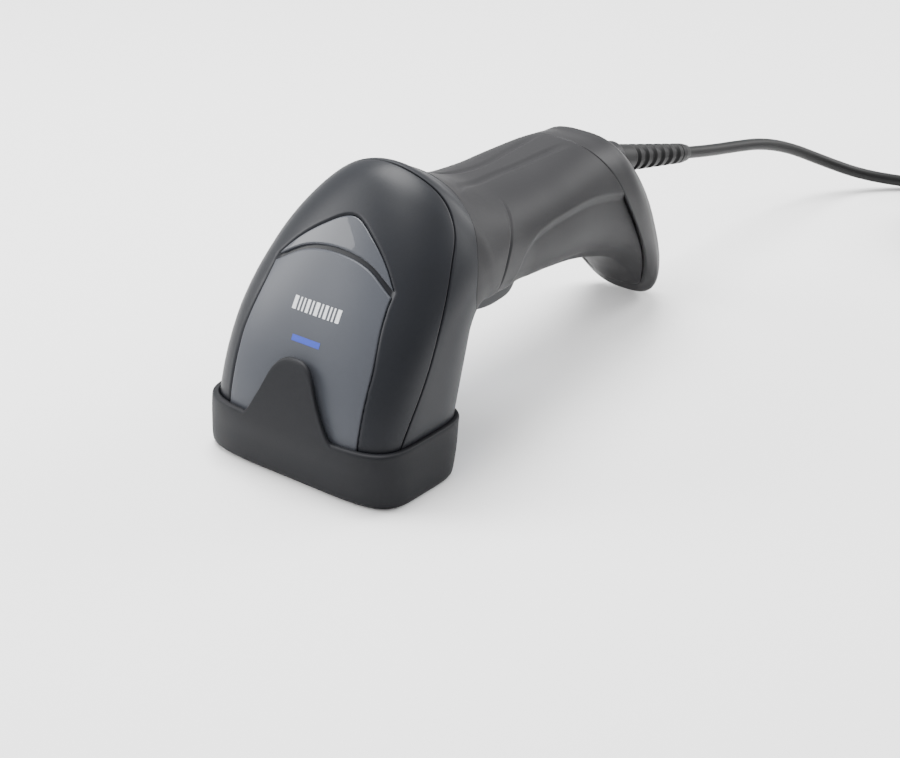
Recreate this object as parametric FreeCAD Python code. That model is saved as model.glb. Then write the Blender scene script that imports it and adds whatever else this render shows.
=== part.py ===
"""Handheld barcode scanner with a USB lead, standing on its window rim and the heel of its handle."""
import FreeCAD, Part
import math
import os

from FreeCAD import Vector

# ---------------------------------------------------------------- driving dimensions, millimetres
LENGTH = 176.0             # nose to heel
NOSE_Y = -LENGTH / 2
HEEL_Y = LENGTH / 2
WALL = 2.2                 # moulded wall
GAP = 0.15                 # clearance between shells that sit inside each other
CRUMB = 0.5                # cubic mm, a piece smaller than this isn't a piece
HEAD_BASE = 2.5            # height where the head's shells start, on the bumper's lip
CAP_END_LEAN = 24.0        # degrees that the hollow's end leans back inside the butt cap
CAP_END = (71.5, 31.5)     # a point (y, z) on that end
GUIDE_DEPTH = 6.0          # how far the light guide reaches in from the head's surface
QUARTER_POINTS = 9         # points on a quarter of one body section
QUARTER_FINE = 200         # steps used to space them

BUMPER_TOP = 17.5          # height of the nose bumper's upper edge
TONGUE_HALF = 17.5         # half width of the bumper's tongue where it starts
TONGUE_TOP = 37.7
WINDOW_SIZE = (61.0, 29.0)
WINDOW_Y = -66.0           # middle of the scan window
WINDOW_Z = 4.0             # outer face of the scan window
WINDOW_THICK = 2.0

BADGE_HALF = 24.7          # badge plate's half width
BADGE_SHOULDER = 57.0      # height where its arched top starts
BADGE_TOP = 64.2
LENS_TOP = 73.3            # top of the crescent indicator lens
INLAY = 1.4                # thickness of the badge plate and of the crescent lens

CAP_LEAN = 31.0            # degrees that the butt cap's seam leans back
CAP_SEAM = (63.4, 31.5)    # a point (y, z) on that seam

PIVOT = (-24.0, 45.0)      # trigger pivot (y, z)
PIN_R = 1.25
PIN_CLEARANCE = 0.05
TRIGGER_HALF = 9.5
SWITCH_Y = -10.0           # the trigger's post presses the switch here
BOARD_Z = 52.0             # underside of the main board
BOARD_THICK = 1.6

CABLE_D = 4.2
CABLE_LENGTH = 2000.0
RELIEF_ROOT = (76.0, 50.0) # where the lead's axis leaves the butt cap (y, z)
RELIEF_DROP = 14.4         # degrees that the lead's exit points down
RELIEF_LENGTH = 42.0
COIL_MID_D = 47.0          # diameter at the middle of the coil's turns

os.makedirs("parts", exist_ok=True)


# ---------------------------------------------------------------- small helpers
def save(name, shape):
    """Write one node's solids to its STEP file, leaving out crumbs of a cut."""
    solids = [one for one in shape.Solids if one.Volume > CRUMB]
    if not solids or not all(one.isValid() for one in solids):
        raise ValueError(name + " has no valid solid")
    node = solids[0] if len(solids) == 1 else Part.makeCompound(solids)
    node.exportStep("parts/" + name + ".step")
    size = node.optimalBoundingBox(True, False)
    print("%-20s %d  x %.1f %.1f  y %.1f %.1f  z %.1f %.1f  v %.2f cm3" % (
        name, len(solids), size.XMin, size.XMax, size.YMin, size.YMax, size.ZMin, size.ZMax,
        node.Volume / 1000))


def box(x0, x1, y0, y1, z0, z1):
    """A block between two corners."""
    return Part.makeBox(x1 - x0, y1 - y0, z1 - z0, Vector(x0, y0, z0))


def rod(radius, start, end):
    """A round bar from start to end."""
    a, b = Vector(*start), Vector(*end)
    return Part.makeCylinder(radius, (b - a).Length, a, b - a)


def prism_x(outline, half_width):
    """Extrude a closed (y, z) outline across the middle plane."""
    corners = [Vector(-half_width, y, z) for y, z in outline]
    face = Part.Face(Part.makePolygon(corners + corners[:1]))
    return face.extrude(Vector(2 * half_width, 0, 0))


def curve(points):
    """A smooth open curve through 3D points."""
    line = Part.BSplineCurve()
    line.interpolate([Vector(*p) for p in points])
    return line.toShape()


def block_round(size, centre, radius):
    """A block with its upright edges rounded, given by its size and centre."""
    sx, sy, sz = size
    cx, cy, cz = centre
    solid = box(cx - sx / 2, cx + sx / 2, cy - sy / 2, cy + sy / 2, cz - sz / 2, cz + sz / 2)
    upright = [e for e in solid.Edges if abs(e.tangentAt(e.FirstParameter).z) > 0.99]
    return solid.makeFillet(radius, upright)


# ---------------------------------------------------------------- body form
# Every section is (inner y, z), (outer y, z), waist, half width, inner exponent, outer exponent.
# The sections fan round the corner between the head and the handle.
HEAD = [
    ((-48.8, 2.5), (-83.4, 2.5), 0.5, 33.3, 4.8, 4.8),
    ((-47.4, 9.0), (-85.2, 9.0), 0.5, 33.9, 4.8, 4.8),
    ((-45.8, 16.0), (-86.0, 16.0), 0.5, 34.3, 4.6, 4.6),
    ((-43.0, 24.0), (-84.6, 24.0), 0.5, 34.6, 4.2, 4.2),
    ((-40.0, 31.5), (-81.9, 32.5), 0.5, 34.6, 3.9, 3.9),
    ((-37.5, 36.6), (-77.9, 41.5), 0.5, 34.4, 3.6, 3.6),
    ((-35.8, 39.4), (-72.7, 50.8), 0.48, 34.0, 3.3, 3.2),
    ((-34.4, 40.8), (-66.0, 60.6), 0.45, 33.5, 3.1, 2.75),
    ((-33.0, 41.2), (-58.8, 69.8), 0.42, 32.9, 3.0, 2.4),
    ((-31.0, 41.0), (-51.4, 77.8), 0.39, 32.1, 3.0, 2.1),
    ((-28.6, 40.4), (-45.0, 82.9), 0.36, 31.2, 3.0, 1.95),
]
NECK = [
    ((-26.0, 39.6), (-39.0, 84.5), 0.36, 30.5, 3.0, 1.9),
    ((-23.2, 38.7), (-33.6, 81.9), 0.38, 29.7, 2.9, 1.9),
    ((-19.8, 37.7), (-27.4, 78.3), 0.43, 28.6, 2.8, 1.95),
    ((-14.0, 36.0), (-18.6, 73.7), 0.48, 27.0, 2.6, 2.2),
    ((-4.5, 33.6), (-6.0, 69.2), 0.5, 24.8, 2.5, 2.4),
    ((10.0, 31.4), (10.0, 67.6), 0.5, 23.3, 2.5, 2.5),
    ((24.0, 30.0), (24.0, 67.8), 0.5, 22.2, 2.5, 2.5),
    ((38.0, 28.0), (37.0, 68.0), 0.5, 20.8, 2.5, 2.5),
    ((50.0, 25.0), (44.5, 67.4), 0.5, 19.9, 2.6, 2.6),
    ((62.0, 20.6), (50.5, 66.5), 0.5, 19.5, 2.8, 2.8),
    ((72.0, 12.6), (54.5, 66.4), 0.5, 19.4, 2.9, 2.9),
    ((79.5, 4.6), (57.6, 64.6), 0.5, 18.8, 2.9, 2.9),
]
BUTT = [
    ((83.4, 0.4), (61.4, 61.8), 0.5, 17.8, 2.8, 2.8),
    ((86.6, 2.6), (66.4, 57.0), 0.5, 15.8, 2.6, 2.6),
    ((88.0, 8.2), (71.0, 51.5), 0.5, 12.5, 2.4, 2.4),
]
BUMPER = [
    ((-49.4, 0.0), (-86.0, 0.0), 0.5, 35.6, 5.0, 5.0),
    ((-48.8, 2.2), (-87.4, 2.2), 0.5, 36.4, 5.0, 5.0),
    ((-46.6, 9.0), (-87.9, 9.0), 0.5, 36.5, 4.8, 4.8),
    ((-44.3, 17.5), (-88.0, 17.5), 0.5, 36.2, 4.6, 4.6),
    ((-39.4, 30.0), (-85.9, 30.0), 0.5, 36.6, 4.2, 4.2),
    ((-36.0, 42.0), (-82.0, 42.0), 0.5, 36.4, 3.8, 3.8),
]


def signed_power(value, power):
    return math.copysign(abs(value) ** power, value)


def quarter(n):
    """Points of a unit superellipse from (1, 0) to (0, 1), evenly spaced along it."""
    fine = [math.pi / 2 * k / QUARTER_FINE for k in range(QUARTER_FINE + 1)]
    pairs = [(abs(math.cos(a)) ** (2 / n), abs(math.sin(a)) ** (2 / n)) for a in fine]
    run = [0.0]
    for a, b in zip(pairs, pairs[1:]):
        run.append(run[-1] + math.dist(a, b))
    spaced = []
    for k in range(QUARTER_POINTS):
        want = run[-1] * k / QUARTER_POINTS
        i = max(j for j in range(QUARTER_FINE) if run[j] <= want)
        t = (want - run[i]) / (run[i + 1] - run[i])
        spaced.append(tuple(p + t * (q - p) for p, q in zip(pairs[i], pairs[i + 1])))
    return spaced + [(0.0, 1.0)]


def ring(section, inset=0.0):
    """One closed section wire, drawn inset by a wall's thickness."""
    inner, outer, waist, half, n_in, n_out = section
    span = math.dist(inner, outer)
    uy, uz = (outer[0] - inner[0]) / span, (outer[1] - inner[1]) / span
    mid = span * waist
    upper = [(x, mid + (span - mid - inset) * s) for x, s in quarter(n_out)]
    lower = [(x, mid - (mid - inset) * s) for x, s in quarter(n_in)]
    along = Vector(0, uy, uz)

    def place(x, a):
        return Vector((half - inset) * x, inner[0] + uy * a, inner[1] + uz * a)

    top = [place(x, a) for x, a in upper] + [place(-x, a) for x, a in reversed(upper[:-1])]
    bottom = [place(-x, a) for x, a in lower] + [place(x, a) for x, a in reversed(lower[:-1])]
    edges = []
    for points, way in ((top, along), (bottom, -along)):
        line = Part.BSplineCurve()
        line.interpolate(Points=points, InitialTangent=way, FinalTangent=-way)
        edges.append(line.toShape())
    return Part.Wire(edges)


def body(sections, inset=0.0):
    """A solid lofted through the sections."""
    return Part.makeLoft([ring(one, inset) for one in sections], True, False)



def window_run(inset, z0, z1):
    """A slab of the head's plan, inset from its outside, between two heights."""
    inner, outer, waist, half, n_in, n_out = HEAD[0]
    plan = ((inner[0], z0), (outer[0], z0), waist, half, n_in, n_out)
    return Part.Face(ring(plan, inset)).extrude(Vector(0, 0, z1 - z0))


def past_plane(lean, point, thickness=90.0):
    """The space behind a plane that leans back across the handle."""
    a = math.radians(lean)
    across, along = (-math.sin(a), math.cos(a)), (math.cos(a), math.sin(a))
    corners = []
    for u, v in ((-80, 0), (80, 0), (80, thickness), (-80, thickness)):
        corners.append((point[0] + u * across[0] + v * along[0], point[1] + u * across[1] + v * along[1]))
    return prism_x(corners, 60)


def zone(points, corners, half_width=60.0):
    """The space bounded by a smooth (y, z) curve and straight lines through the corners."""
    line = Part.BSplineCurve()
    line.interpolate([Vector(-half_width, y, z) for y, z in points])
    rest = [points[-1]] + corners + [points[0]]
    lines = Part.makePolygon([Vector(-half_width, y, z) for y, z in rest])
    wire = Part.Wire([line.toShape()] + lines.Edges)
    return Part.Face(wire).extrude(Vector(2 * half_width, 0, 0))


def front_prism(pieces, depth=(-110.0, -48.0)):
    """Extrude a closed outline of straight and smooth runs in (x, z) from the nose backwards."""
    edges = []
    for kind, run in pieces:
        at = [Vector(x, depth[0], z) for x, z in run]
        if kind == "line":
            edges += Part.makePolygon(at).Edges
        else:
            line = Part.BSplineCurve()
            line.interpolate(at)
            edges.append(line.toShape())
    return Part.Face(Part.Wire(edges)).extrude(Vector(0, depth[1] - depth[0], 0))


def shift(points, dy, dz=0.0):
    return [(y + dy, z + dz) for y, z in points]


def along_exit(shape):
    """Turn a shape that lies along +Y at the origin to the lead's exit direction and place it."""
    placed = shape.copy()
    placed.rotate(Vector(0, 0, 0), Vector(1, 0, 0), -RELIEF_DROP)
    placed.translate(Vector(0, *RELIEF_ROOT))
    return placed


# ---------------------------------------------------------------- whole form and its layers
BASE = ((-49.4, -3.0), (-82.8, -3.0), 0.5, 32.9, 4.8, 4.8)
ALL = [BASE] + HEAD + NECK + BUTT
SEAM = [(-42.5, 96.0), (-40.6, 85.5), (-39.4, 78.0), (-41.9, 71.1), (-49.0, 62.8), (-57.5, 50.4),
        (-66.0, 35.6), (-75.4, 20.5), (-81.0, 8.0), (-84.0, -4.0)]
CREASE = [(-25.0, 94.0), (-29.5, 81.0), (-32.5, 73.5), (-36.0, 65.5), (-39.5, 57.5), (-41.0, 50.5),
          (-39.5, 44.5), (-35.5, 40.5), (-31.0, 37.0), (-26.0, 30.0)]
SPLIT = [(-60.0, 58.0), (-32.0, 55.0), (-5.0, 51.0), (24.0, 49.0), (48.0, 46.0), (95.0, 34.0)]
UNDERLAP = 8.0             # how far the handle shells reach inside the main body

whole = body(ALL)
inlay_floor = body(ALL, INLAY)
wall_in = body(ALL, WALL)
shell_out = body(ALL, WALL + GAP)
shell_in = body(ALL, 2 * WALL + GAP)
above_lip = box(-60, 60, -110, 0, HEAD_BASE, 120).fuse(box(-60, 60, 0, 110, -5, 120))
form = whole.common(above_lip)
skin = form.cut(wall_in.cut(past_plane(CAP_END_LEAN, CAP_END)))

front_zone = zone(SEAM, [(-130.0, -4.0), (-130.0, 96.0)])
rear_zone = zone(shift(SEAM, GAP), [(130.0, -4.0), (130.0, 96.0)])
before_crease = zone(CREASE, [(-26.0, -5.0), (-130.0, -5.0), (-130.0, 94.0)])
after_crease = zone(shift(CREASE, GAP), [(-26.0 + GAP, -5.0), (130.0, -5.0), (130.0, 94.0)])
cap_zone = past_plane(CAP_LEAN, CAP_SEAM)
cap_side = past_plane(CAP_LEAN, (CAP_SEAM[0] - GAP, CAP_SEAM[1]))
SLOT_HALF = TRIGGER_HALF + 0.8
trigger_slot = box(-SLOT_HALF, SLOT_HALF, -30.6, 11.4, 15, 46.6)

# ---------------------------------------------------------------- head: cover, badge, crescent lens
SHOULDER_HALF = BADGE_HALF - 2.6
BADGE = [("line", [(-SHOULDER_HALF, BADGE_SHOULDER), (-BADGE_HALF, 36), (-BADGE_HALF, 12),
                   (BADGE_HALF, 12), (BADGE_HALF, 36), (SHOULDER_HALF, BADGE_SHOULDER)]),
         ("curve", [(SHOULDER_HALF, BADGE_SHOULDER), (12.5, 62.3), (0, BADGE_TOP), (-12.5, 62.3),
                    (-SHOULDER_HALF, BADGE_SHOULDER)])]
LENS = [("curve", [(-22.4, 57.9), (-12.5, 63.1), (0, BADGE_TOP + 0.8), (12.5, 63.1), (22.4, 57.9)]),
        ("curve", [(22.4, 57.9), (17.5, 63.2), (9.5, 69.3), (0, LENS_TOP), (-9.5, 69.3), (-17.5, 63.2),
                   (-22.4, 57.9)])]
GUIDE = [("curve", [(-14, 64.2), (0, BADGE_TOP + 2.2), (14, 64.2)]),
         ("curve", [(14, 64.2), (9, 68.0), (0, LENS_TOP - 1.8), (-9, 68.0), (-14, 64.2)])]
badge_cut = front_prism(BADGE, (-110.0, -55.0)).cut(inlay_floor)
lens_cut = front_prism(LENS, (-110.0, -50.0)).cut(inlay_floor)
badge_plate = form.common(badge_cut)
indicator_lens = form.common(lens_cut)
guide_zone = front_prism(GUIDE, (-110.0, -52.0))
light_guide = inlay_floor.common(guide_zone).cut(body(ALL, GUIDE_DEPTH))
save("badge_plate", badge_plate)
save("indicator_lens", indicator_lens)
save("light_guide", light_guide)
front_cover = skin.common(front_zone).cut(badge_cut).cut(lens_cut).cut(guide_zone)
save("front_cover", front_cover)

# ---------------------------------------------------------------- main body, from the head's back to the neck
main_body = skin.common(rear_zone).common(before_crease).cut(trigger_slot)
save("main_body", main_body)

# ---------------------------------------------------------------- nose bumper, window and its seal
TONGUE = [("line", [(-TONGUE_HALF, BUMPER_TOP), (-TONGUE_HALF, BUMPER_TOP - 3),
                    (TONGUE_HALF, BUMPER_TOP - 3), (TONGUE_HALF, BUMPER_TOP)]),
          ("curve", [(TONGUE_HALF, BUMPER_TOP), (11.4, 26.0), (7.2, 34.2), (0, TONGUE_TOP), (-7.2, 34.2),
                     (-11.4, 26.0), (-TONGUE_HALF, BUMPER_TOP)])]
LIP = 4.6                  # how far the bumper's lip reaches in under the window's edge
WINDOW_INSET = 3.6
tongue = body(BUMPER).common(front_prism(TONGUE, (-110.0, -70.0)))
band = body(BUMPER).common(box(-50, 50, -100, 0, -1, BUMPER_TOP))
head_clear = body(ALL, -GAP).common(box(-60, 60, -110, 110, HEAD_BASE - GAP, 60))
nose_bumper = band.fuse(tongue).cut(head_clear).cut(window_run(LIP, -1, HEAD_BASE + 1))
save("nose_bumper", nose_bumper)
save("scan_window", window_run(WINDOW_INSET, WINDOW_Z, WINDOW_Z + WINDOW_THICK))
window_seal = window_run(WALL + 0.2, WINDOW_Z - 0.8, WINDOW_Z + WINDOW_THICK + 0.6)
window_seal = window_seal.cut(window_run(WINDOW_INSET, WINDOW_Z, 12)).cut(window_run(LIP, 0, 12))
save("window_seal", window_seal)

# ---------------------------------------------------------------- handle: rubber grip over two shells
GRIP_LINE = [(2.0, 90.0), (-4.6, 71.5), (-9.5, 65.5), (-15.5, 59.5), (-21.0, 52.0), (-25.0, 44.5), (-28.0, 30.0)]
LINE_WIDTH = 0.9
LINE_DEPTH = 0.5
behind_line = [(130.0, 30.0), (130.0, 90.0)]
side_line = zone(GRIP_LINE, behind_line).cut(zone(shift(GRIP_LINE, LINE_WIDTH), behind_line))
side_line = side_line.common(box(14, 60, -60, 30, 46, 67).fuse(box(-60, -14, -60, 30, 46, 67)))
side_line = side_line.cut(body(ALL, LINE_DEPTH))
grip_sleeve = skin.common(after_crease).cut(cap_side).cut(trigger_slot).cut(side_line)
under_body = zone(shift(CREASE, -UNDERLAP), [(130.0, 30.0), (130.0, 94.0)])
under_body = under_body.fuse(box(-60, 60, -10, 110, 10, 31))
core = shell_out.common(under_body).cut(cap_side)
upper_zone = zone(SPLIT, [(95.0, 110.0), (-60.0, 110.0)])
lower_zone = zone(shift(SPLIT, 0, -GAP), [(95.0, 0.0), (-60.0, 0.0)])
SCREW_PLACES = [(-14.4, 14.0), (14.4, 14.0), (-14.0, 32.0), (14.0, 32.0)]
SCREW_HEAD_R = 2.4
SCREW_SHANK_R = 1.1
upper_shell = core.common(upper_zone).cut(shell_in)
EAR_IN, EAR_OUT = TRIGGER_HALF + 0.25, TRIGGER_HALF + 2.2
bracket_room = box(-EAR_OUT - 0.2, EAR_OUT + 0.2, -28.0, -20.0, 42.2, 51.2)
lower_shell = core.common(lower_zone).cut(shell_in).cut(trigger_slot).cut(bracket_room)
screws = []
for x, y in SCREW_PLACES:
    boss = rod(2.6, (x, y, 45.5), (x, y, 75.0)).common(shell_in)
    upper_shell = upper_shell.fuse(boss)
    seat = rod(2.6, (x, y, 35.0), (x, y, 45.3)).common(shell_in)
    lower_shell = lower_shell.fuse(seat)
for x, y in SCREW_PLACES:
    head_zone = rod(SCREW_HEAD_R + 0.2, (x, y, 15.0), (x, y, 39.0))
    shank_zone = rod(SCREW_SHANK_R + 0.1, (x, y, 38.0), (x, y, 57.0))
    upper_shell = upper_shell.cut(shank_zone)
    lower_shell = lower_shell.cut(head_zone).cut(shank_zone)
    grip_sleeve = grip_sleeve.cut(rod(SCREW_HEAD_R + 0.8, (x, y, 15.0), (x, y, 45.0)))
    head = rod(SCREW_HEAD_R, (x, y, 37.0), (x, y, 39.0)).cut(rod(0.9, (x, y, 36.5), (x, y, 38.0)))
    screws.append(head.fuse(rod(SCREW_SHANK_R, (x, y, 38.5), (x, y, 56.0))))
save("grip_sleeve", grip_sleeve)
save("upper_handle_shell", upper_shell)
save("lower_handle_shell", lower_shell)
save("housing_screws", Part.makeCompound(screws))

# ---------------------------------------------------------------- butt cap
EXIT_HOLE_R = 5.4
exit_hole = along_exit(rod(EXIT_HOLE_R, (0, -25, 0), (0, 20, 0)))
socket_room = along_exit(box(-7.0, 7.0, -31.0, -9.9, -5.8, 5.8).fuse(rod(6.8, (0, -12.0, 0), (0, -7.8, 0))))
butt_cap = skin.common(cap_zone).cut(exit_hole).cut(socket_room)
save("butt_cap", butt_cap)

# ---------------------------------------------------------------- optics behind the window
HOOD_BASE = (26.0, -79.0, -53.0, 7.5)      # half width, front y, back y, z
HOOD_TOP = (11.0, -67.5, -52.5, 36.0)
HOOD_WALL = 1.4
IMAGER_Y = -60.0
IMAGER_Z = 37.2


def hood(wall, z_shift=0.0):
    rings = []
    for half, front, back, z in (HOOD_BASE, HOOD_TOP):
        h, f, b = half - wall, front + wall, back - wall
        z += z_shift * (1 if z > 20 else -1)
        rings.append(Part.makePolygon([Vector(-h, f, z), Vector(h, f, z), Vector(h, b, z), Vector(-h, b, z),
                                       Vector(-h, f, z)]))
    return Part.makeLoft(rings, True, True)


optics_hood = hood(0.0).cut(hood(HOOD_WALL, 0.5))
save("optics_hood", optics_hood)
imager = box(-12, 12, IMAGER_Y - 7, IMAGER_Y + 9, IMAGER_Z, 50.5)
imager = imager.cut(rod(4.4, (0, IMAGER_Y, IMAGER_Z - 1), (0, IMAGER_Y, 44)))
save("imager_module", imager)
barrel = rod(4.3, (0, IMAGER_Y, 31), (0, IMAGER_Y, 43.5)).cut(rod(3.4, (0, IMAGER_Y, 30), (0, IMAGER_Y, 44)))
save("lens_barrel", barrel)
ball = Part.makeSphere(7.0, Vector(0, IMAGER_Y, 39.0)).common(rod(3.35, (0, IMAGER_Y, 32.2), (0, IMAGER_Y, 34.5)))
save("imager_lens", ball)
save("sensor_board", box(-12.5, 12.5, -67.5, -50.5, 50.6, 51.8))
light_board = box(-9.2, 9.2, -65.8, -54.2, 36.1, 37.1).cut(rod(4.5, (0, IMAGER_Y, 35), (0, IMAGER_Y, 38)))
save("light_board", light_board)
lamps = [box(x - 1.4, x + 1.4, y - 1.4, y + 1.4, 34.6, 36.0) for x in (-7.2, 7.2) for y in (-63.2, -56.8)]
save("illumination_leds", Part.makeCompound(lamps))
save("indicator_board", box(-11, 11, -58.0, -50.5, 59.6, 60.8))
save("indicator_leds", Part.makeCompound([box(x - 1.5, x + 1.5, -57.6, -55.4, 60.9, 62.0) for x in (-7, 0, 7)]))

# ---------------------------------------------------------------- main board in the neck and handle
BOARD_HALF = 11.4
BOARD_TOP = BOARD_Z + BOARD_THICK
save("main_board", box(-BOARD_HALF, BOARD_HALF, -22, 45.2, BOARD_Z, BOARD_TOP).cut(
    Part.makeCompound([rod(1.2, (x, y, 50), (x, y, 56)) for x in (-8.8, 8.8) for y in (-17, 41)])))
carrier = box(-10.9, 10.9, -19.5, 44.5, BOARD_Z - 2.8, BOARD_Z - 0.05)
carrier = carrier.cut(box(-6.6, 6.6, -16, 0.4, 45, 55)).cut(box(-6.6, 6.6, 8.5, 40, 45, 55))
carrier = carrier.cut(Part.makeCompound([rod(0.85, (x, y, 45), (x, y, 56)) for x in (-8.8, 8.8) for y in (-17, 41)]))
save("board_carrier", carrier)
board_screws = []
for x in (-8.8, 8.8):
    for y in (-17, 41):
        cup = rod(1.9, (x, y, BOARD_TOP + 0.05), (x, y, BOARD_TOP + 1.3))
        cup = cup.cut(rod(0.7, (x, y, BOARD_TOP + 0.6), (x, y, BOARD_TOP + 2)))
        board_screws.append(cup.fuse(rod(0.8, (x, y, BOARD_Z - 2.5), (x, y, BOARD_TOP + 0.3))))
save("board_screws", Part.makeCompound(board_screws))
save("processor", box(-6, 6, -4, 8, BOARD_TOP, BOARD_TOP + 1.3))
chips = [box(-8, -1, 12, 17, BOARD_TOP, BOARD_TOP + 1.0), box(2, 8, 12, 20, BOARD_TOP, BOARD_TOP + 1.1),
         box(-8, -4, 20.5, 24.5, BOARD_TOP, BOARD_TOP + 2.0), box(-6, 6, -15.5, -11.5, BOARD_TOP, BOARD_TOP + 2.0)]
save("board_chips", Part.makeCompound(chips))
save("beeper", rod(5.8, (0, 32, BOARD_TOP), (0, 32, BOARD_TOP + 5)).cut(rod(1.1, (0, 32, 56), (0, 32, 60))))
ribbon_out = curve([(-7, -52.0, 51.9), (-7, -44.0, 58.0), (-7, -32.0, 60.5), (-7, -21.0, 57.8), (-7, -14.0, 55.7)])
ribbon_in = curve([(-7, -52.0, 52.2), (-7, -44.0, 58.3), (-7, -32.0, 60.8), (-7, -21.0, 58.1), (-7, -14.0, 56.0)])
ribbon_ends = [Part.makeLine(Vector(-7, -52.0, 51.9), Vector(-7, -52.0, 52.2)),
               Part.makeLine(Vector(-7, -14.0, 55.7), Vector(-7, -14.0, 56.0))]
ribbon_edges = Part.__sortEdges__([ribbon_out, ribbon_in] + ribbon_ends)
save("ribbon_cable", Part.Face(Part.Wire(ribbon_edges)).extrude(Vector(14, 0, 0)))

# ---------------------------------------------------------------- trigger, its pad, pin, spring and switch
PY, PZ = PIVOT
FINGER = [(-27.2, 44.5), (-26.6, 38.5), (-21.0, 33.0), (-11.0, 29.2), (0.0, 28.2), (7.6, 29.8), (10.0, 32.4)]
BACK = [(8.4, 35.2), (0.0, 34.2), (-12.0, 34.8), (-19.8, 40.5)]
PAD_FACE = [(-20.5, 31.8), (-11.0, 28.3), (0.0, 27.3), (5.2, 28.0)]
PAD_BACK = [(4.8, 30.2), (0.0, 29.4), (-11.0, 30.4), (-19.2, 33.6)]
PAD_HALF = 6.2


def lever(points, corners, half):
    line = Part.BSplineCurve()
    line.interpolate([Vector(-half, y, z) for y, z in points])
    rest = [points[-1]] + corners + [points[0]]
    lines = Part.makePolygon([Vector(-half, y, z) for y, z in rest])
    return Part.Face(Part.Wire([line.toShape()] + lines.Edges)).extrude(Vector(2 * half, 0, 0))


trigger = lever(FINGER, BACK, TRIGGER_HALF)
trigger = trigger.fuse(rod(3.3, (-TRIGGER_HALF, PY, PZ), (TRIGGER_HALF, PY, PZ)))
trigger = trigger.fuse(box(-2, 2, SWITCH_Y - 0.8, SWITCH_Y + 0.8, 33.5, 46.8))
trigger_pad = lever(PAD_FACE, PAD_BACK, PAD_HALF)
trigger = trigger.cut(trigger_pad)
trigger = trigger.cut(rod(PIN_R + PIN_CLEARANCE, (-20, PY, PZ), (20, PY, PZ)))
save("trigger", trigger)
save("trigger_pad", trigger_pad)
save("trigger_pin", rod(PIN_R, (-EAR_OUT, PY, PZ), (EAR_OUT, PY, PZ)))
bracket = box(-EAR_OUT, EAR_OUT, -27.8, -20.2, 42.4, 51.0).cut(box(-EAR_IN, EAR_IN, -30, -10, 40, 49.4))
save("trigger_bracket", bracket.cut(rod(PIN_R, (-20, PY, PZ), (20, PY, PZ))))
switch = box(-3.5, 3.5, SWITCH_Y - 3.5, SWITCH_Y + 3.5, 48.6, BOARD_Z)
switch = switch.cut(rod(1.8, (0, SWITCH_Y, 48), (0, SWITCH_Y, 51.7)))
save("trigger_switch", switch)
save("switch_plunger", rod(1.7, (0, SWITCH_Y, 46.9), (0, SWITCH_Y, 50.2)))
SPRING_Y, SPRING_R, SPRING_WIRE = 4.2, 2.3, 0.35
spring_low, spring_high = 34.9, BOARD_Z - 2.85
helix = Part.makeHelix(2.6, spring_high - spring_low - 2 * SPRING_WIRE, SPRING_R)
helix.translate(Vector(0, SPRING_Y, spring_low + SPRING_WIRE))
start = Part.Circle(Vector(SPRING_R, SPRING_Y, spring_low + SPRING_WIRE), Vector(0, 1, 0.18), SPRING_WIRE)
coil_spring = Part.Wire([helix.Edges[0]]).makePipeShell([Part.Wire([start.toShape()])], True, True)
save("trigger_spring", coil_spring)

# ---------------------------------------------------------------- lead: socket, plug, strain relief, cable
socket = box(-6.8, 6.8, -30, -17, -5.6, 5.6).cut(box(-5.9, 5.9, -28, -16, -4.3, 4.3))
save("cable_socket", along_exit(socket))
plug = box(-5.8, 5.8, -27.4, -14.0, -4.0, 4.0).fuse(box(-3.0, 3.0, -26, -15, 3.8, 4.25))
save("modular_plug", along_exit(plug))
save("lead_core", along_exit(rod(CABLE_D / 2, (0, -14.0, 0), (0, -10.0, 0))))
EXIT_R, TIP_R = 5.1, 3.3
profile = [(0, -10.0), (6.6, -10.0), (6.6, -8.0), (EXIT_R, -8.0), (EXIT_R, 6.0)]
RIBS = 6
pitch = (RELIEF_LENGTH - 9.0) / RIBS
for k in range(RIBS):
    v = 6.0 + k * pitch
    r0 = EXIT_R + (TIP_R - EXIT_R) * (v - 6.0) / (RELIEF_LENGTH - 6.0)
    r1 = EXIT_R + (TIP_R - EXIT_R) * (v + pitch - 6.0) / (RELIEF_LENGTH - 6.0)
    profile += [(r0 - 0.9, v), (r0 - 0.9, v + pitch * 0.35), (r0, v + pitch * 0.35), (r1, v + pitch)]
profile += [(TIP_R, RELIEF_LENGTH), (0, RELIEF_LENGTH)]
relief_wire = Part.makePolygon([Vector(r, v, 0) for r, v in profile + profile[:1]])
relief = Part.Face(relief_wire).revolve(Vector(0, 0, 0), Vector(0, 1, 0), 360)
save("strain_relief", along_exit(relief))

FLOOR = CABLE_D / 2 + 0.05
drop = math.radians(RELIEF_DROP)
EXIT = (0.0, RELIEF_ROOT[0] + RELIEF_LENGTH * math.cos(drop), RELIEF_ROOT[1] - RELIEF_LENGTH * math.sin(drop))
STRAIGHT = 16.0
LEAD = [EXIT, (0.0, EXIT[1] + STRAIGHT * math.cos(drop), EXIT[2] - STRAIGHT * math.sin(drop)),
        (0.5, 149.2, 32.2), (1.6, 166.4, 28.6), (3.8, 183.2, 22.2), (8.6, 198.4, 13.9), (17.4, 211.6, 6.6),
        (29.6, 223.2, 2.9), (43.6, 231.2, FLOOR), (56.4, 234.6, FLOOR), (69.4, 235.2, FLOOR)]
COIL = (82.0, 207.4)
TAIL = [(109.8, 201.0, 14.8), (109.8, 190.0, 10.2), (109.0, 181.0, 5.6), (108.0, 173.0, 4.1)]


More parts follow.
